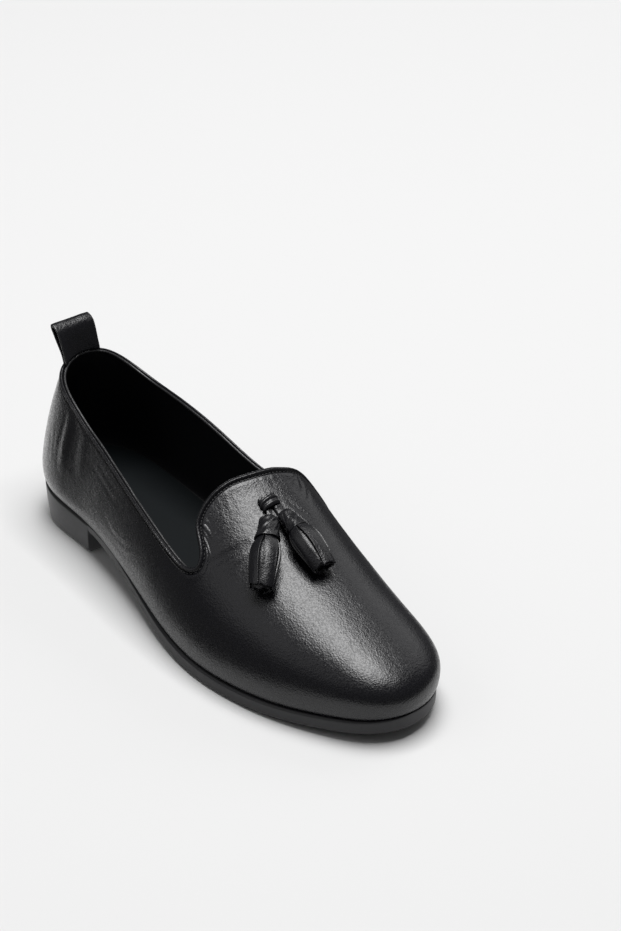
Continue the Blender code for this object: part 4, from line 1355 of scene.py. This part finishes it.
def make_strips(which, spine, layer, draw):
    """One layer of broad folded strips with eye-shaped slits between them."""
    inset = LAYER_INSET * layer
    turn = math.radians(TASSEL_SLIT_TURN[which] + 180 / TASSEL_STRIPS * layer)
    across, along = STRIP_ACROSS, STRIP_ALONG
    points, faces, rubbed_and_sheen = [], [], []
    for strip in range(TASSEL_STRIPS):
        end = 1.0 - STRIP_SHORTER * draw.random() + LAYER_LONGER * layer
        wave = draw.uniform(0, 6.3, 3)
        opened = SLIT_TOP if strip in (0, TASSEL_STRIPS - 1) else SLIT_OTHERS
        start_turn = turn + 2 * math.pi * strip / TASSEL_STRIPS
        grid = np.zeros((along, across, 3))
        painted_edge_highlight = np.zeros((along, across))
        for i in range(along):
            share = i / (along - 1)
            part = SKIRT_ROWS[0][0] + (end - SKIRT_ROWS[0][0]) * share
            spot, ahead, rise, side = spine(part)
            wide = profile(SKIRT_ROWS, "half_width", min(part, 1.0)) - inset
            tall = profile(SKIRT_ROWS, "half_height", min(part, 1.0)) - inset
            eye = math.sin(math.pi * min(max((share - SLIT_START) / SLIT_LENGTH, 0.0), 1.0)) ** SLIT_SWELL
            slit = math.radians(SLIT_CLOSED + opened * eye)
            for j in range(across):
                u = j / (across - 1)
                a = start_turn + slit + (2 * math.pi / TASSEL_STRIPS - 2 * slit) * u
                edge = max(0.0, 1 - min(u, 1 - u) / CURL_SHARE)
                curl = CURL_HEIGHT * edge * edge * eye - HOLLOW_DEPTH * (1 - (2 * u - 1) ** 2)
                ripple = RIPPLE_HEIGHT * math.sin(7 * share + wave[0] + 3 * u) * share
                grow = 1 + (curl + ripple) / wide
                ragged = RAGGED_WAVE * math.sin(5 * u + wave[1])
                ragged += RAGGED_NOISE * noise.noise((9 * u, wave[2], strip))
                reach = ahead * ragged * share**6
                grid[i, j] = spot + reach + (side * wide * math.cos(a) + rise * tall * math.sin(a)) * grow
                # a painted highlight: the strip edges are paler where the slits open
                painted_edge_highlight[i, j] = edge * eye
        base = len(points)
        points.extend(grid.reshape(-1, 3))
        rubbed_and_sheen.extend(painted_edge_highlight.ravel())
        for i in range(along - 1):
            for j in range(across - 1):
                faces.append((base + i * across + j, base + i * across + j + 1,
                              base + (i + 1) * across + j + 1, base + (i + 1) * across + j))
    name = "tassel_" + which + ("_strips" if layer == 0 else "_inner_strips")
    piece = mesh_piece(name, points, faces)
    # the paler colour along the open slit edges is a painted highlight
    point_values(piece, "rubbed_and_sheen", np.array(rubbed_and_sheen) * 0.9)
    edit_all(piece, bpy.ops.mesh.flip_normals)
    apply_modifier(piece, "SOLIDIFY", thickness=STRIP_THICKNESS, offset=-1.0)
    round_edges(piece, STRIP_BEVEL, 2)
    smooth(piece, 60)
    dress(piece, TASSEL_LEATHER, "upper_leather")


def make_tassels(skin):
    draw = np.random.default_rng(7)
    for which in ("lateral", "medial"):
        spine = tassel_spine("tassel_" + which, skin)
        make_cap(which, spine)
        for layer in (0, 1):
            make_strips(which, spine, layer, draw)


# Stage

FLOOR_SIZE = 8.0
FLOOR_TONES = ((0.73, 0.73, 0.73), (0.74, 0.74, 0.74))
FLOOR_ROUGHNESS = 0.8
# The leather mirrors a pale card near the shoe and not the floor, as if the far floor were dark. Its corners
# are in millimetres, and it glows more and more between two places along the shoe, towards the heel.
FLOOR_CARD = ((165, -105), (165, 110), (-320, 110), (-320, -95), (-215, -58), (-110, -37), (0, -60))
CARD_GLOW = (0.55, 0.55, 0.55)
CARD_GLOW_REACH = (-20 * MM, -130 * MM)
# Soft boxes that look at the shoe: direction, distance, width and height in metres, and radiance
SOFT_BOXES = {
    "top_box": ((-0.05, 0.09, 1.0), 2.6, 1.7, 1.46, 10.15),
    "back_box": ((-0.16, 0.80, 0.58), 2.2, 1.3, 1.2, 1.0),
    "side_box": ((-0.25, -0.70, 0.67), 2.0, 1.6, 1.2, 0.5),
}
ROOM_LIGHT = 0.11


def make_floor():
    bpy.ops.object.select_all(action="DESELECT")
    bpy.ops.mesh.primitive_plane_add(size=FLOOR_SIZE, location=(0, 0, -0.1 * MM))
    floor = bpy.context.object
    floor.name = "studio_floor"
    floor.visible_glossy = False
    made = Finish("pale_floor", Roughness=FLOOR_ROUGHNESS, Specular_IOR_Level=0.0)
    tone = made.colours(noise_node(made.tree, made.place, 1.5), *FLOOR_TONES)
    floor.data.materials.append(made.feed(Base_Color=tone))
    corners = [(x * MM, y * MM, -0.05 * MM) for x, y in FLOOR_CARD]
    card = mesh_piece("floor_card", corners, [tuple(range(len(corners)))])
    card.visible_camera = card.visible_diffuse = card.visible_shadow = False
    lit = Finish("pale_card", Base_Color=(*FLOOR_TONES[0], 1.0), Roughness=FLOOR_ROUGHNESS,
                 Emission_Strength=1.0)
    place = lit.tree.nodes.new("ShaderNodeSeparateXYZ")
    lit.tree.links.new(lit.place, place.inputs[0])
    to_heel = range_node(lit.tree, place.outputs["X"], *CARD_GLOW_REACH)
    glow = lit.colours(to_heel, (0.0, 0.0, 0.0), CARD_GLOW)
    card.data.materials.append(lit.feed(Emission_Color=glow))


def soft_light(name, direction, distance, width, height, radiance):
    """A soft box that looks at the shoe from a direction, its width laid along the shoe."""
    light = bpy.data.lights.new(name, "AREA")
    light.shape = "RECTANGLE"
    light.size, light.size_y = width, height
    light.energy = math.pi * width * height * radiance
    placed = bpy.data.objects.new(name, light)
    bpy.context.scene.collection.objects.link(placed)
    toward = Vector(direction).normalized()
    up = toward.cross(Vector((1, 0, 0))).normalized()
    turned = Matrix((up.cross(toward), up, toward)).transposed().to_4x4()
    placed.matrix_world = Matrix.Translation(AIM + toward * distance) @ turned


def make_light():
    world = bpy.data.worlds.new("studio")
    bpy.context.scene.world = world
    world.use_nodes = True
    world.node_tree.nodes["Background"].inputs["Color"].default_value = (1.0, 1.0, 1.0, 1.0)
    world.node_tree.nodes["Background"].inputs["Strength"].default_value = ROOM_LIGHT
    for name, values in SOFT_BOXES.items():
        soft_light(name, *values)
    bpy.context.scene.view_settings.view_transform = "Standard"


def make_camera():
    a, e, r = (math.radians(v) for v in (CAMERA_AZIMUTH, CAMERA_ELEVATION, CAMERA_ROLL))
    back = Vector((math.sin(a) * math.cos(e), -math.cos(a) * math.cos(e), math.sin(e)))
    right = Vector((math.cos(a), math.sin(a), 0.0))
    up = back.cross(right)
    right, up = math.cos(r) * right + math.sin(r) * up, math.cos(r) * up - math.sin(r) * right
    metres_per_pixel = CAMERA_DISTANCE / FOCAL_PIXELS
    shift = [(pixel - size / 2) * metres_per_pixel for pixel, size in zip(AIM_PIXEL, PICTURE)]
    lens = bpy.data.cameras.new("camera")
    lens.sensor_width = SENSOR
    lens.lens = FOCAL_PIXELS / max(PICTURE) * SENSOR
    camera = bpy.data.objects.new("camera", lens)
    bpy.context.scene.collection.objects.link(camera)
    place = AIM - right * shift[0] + up * shift[1] + back * CAMERA_DISTANCE
    camera.matrix_world = Matrix.Translation(place) @ Matrix((right, up, back)).transposed().to_4x4()
    bpy.context.scene.camera = camera


SKIN = make_upper()
make_lining()
make_binding(SKIN)
make_stitches(SKIN)
make_sole()
make_insole()
make_loop(SKIN)
make_keeper()
make_thong("lateral", 1.15)
make_thong("medial", 1.55)
make_tassels(SKIN)
make_floor()
make_light()
make_camera()
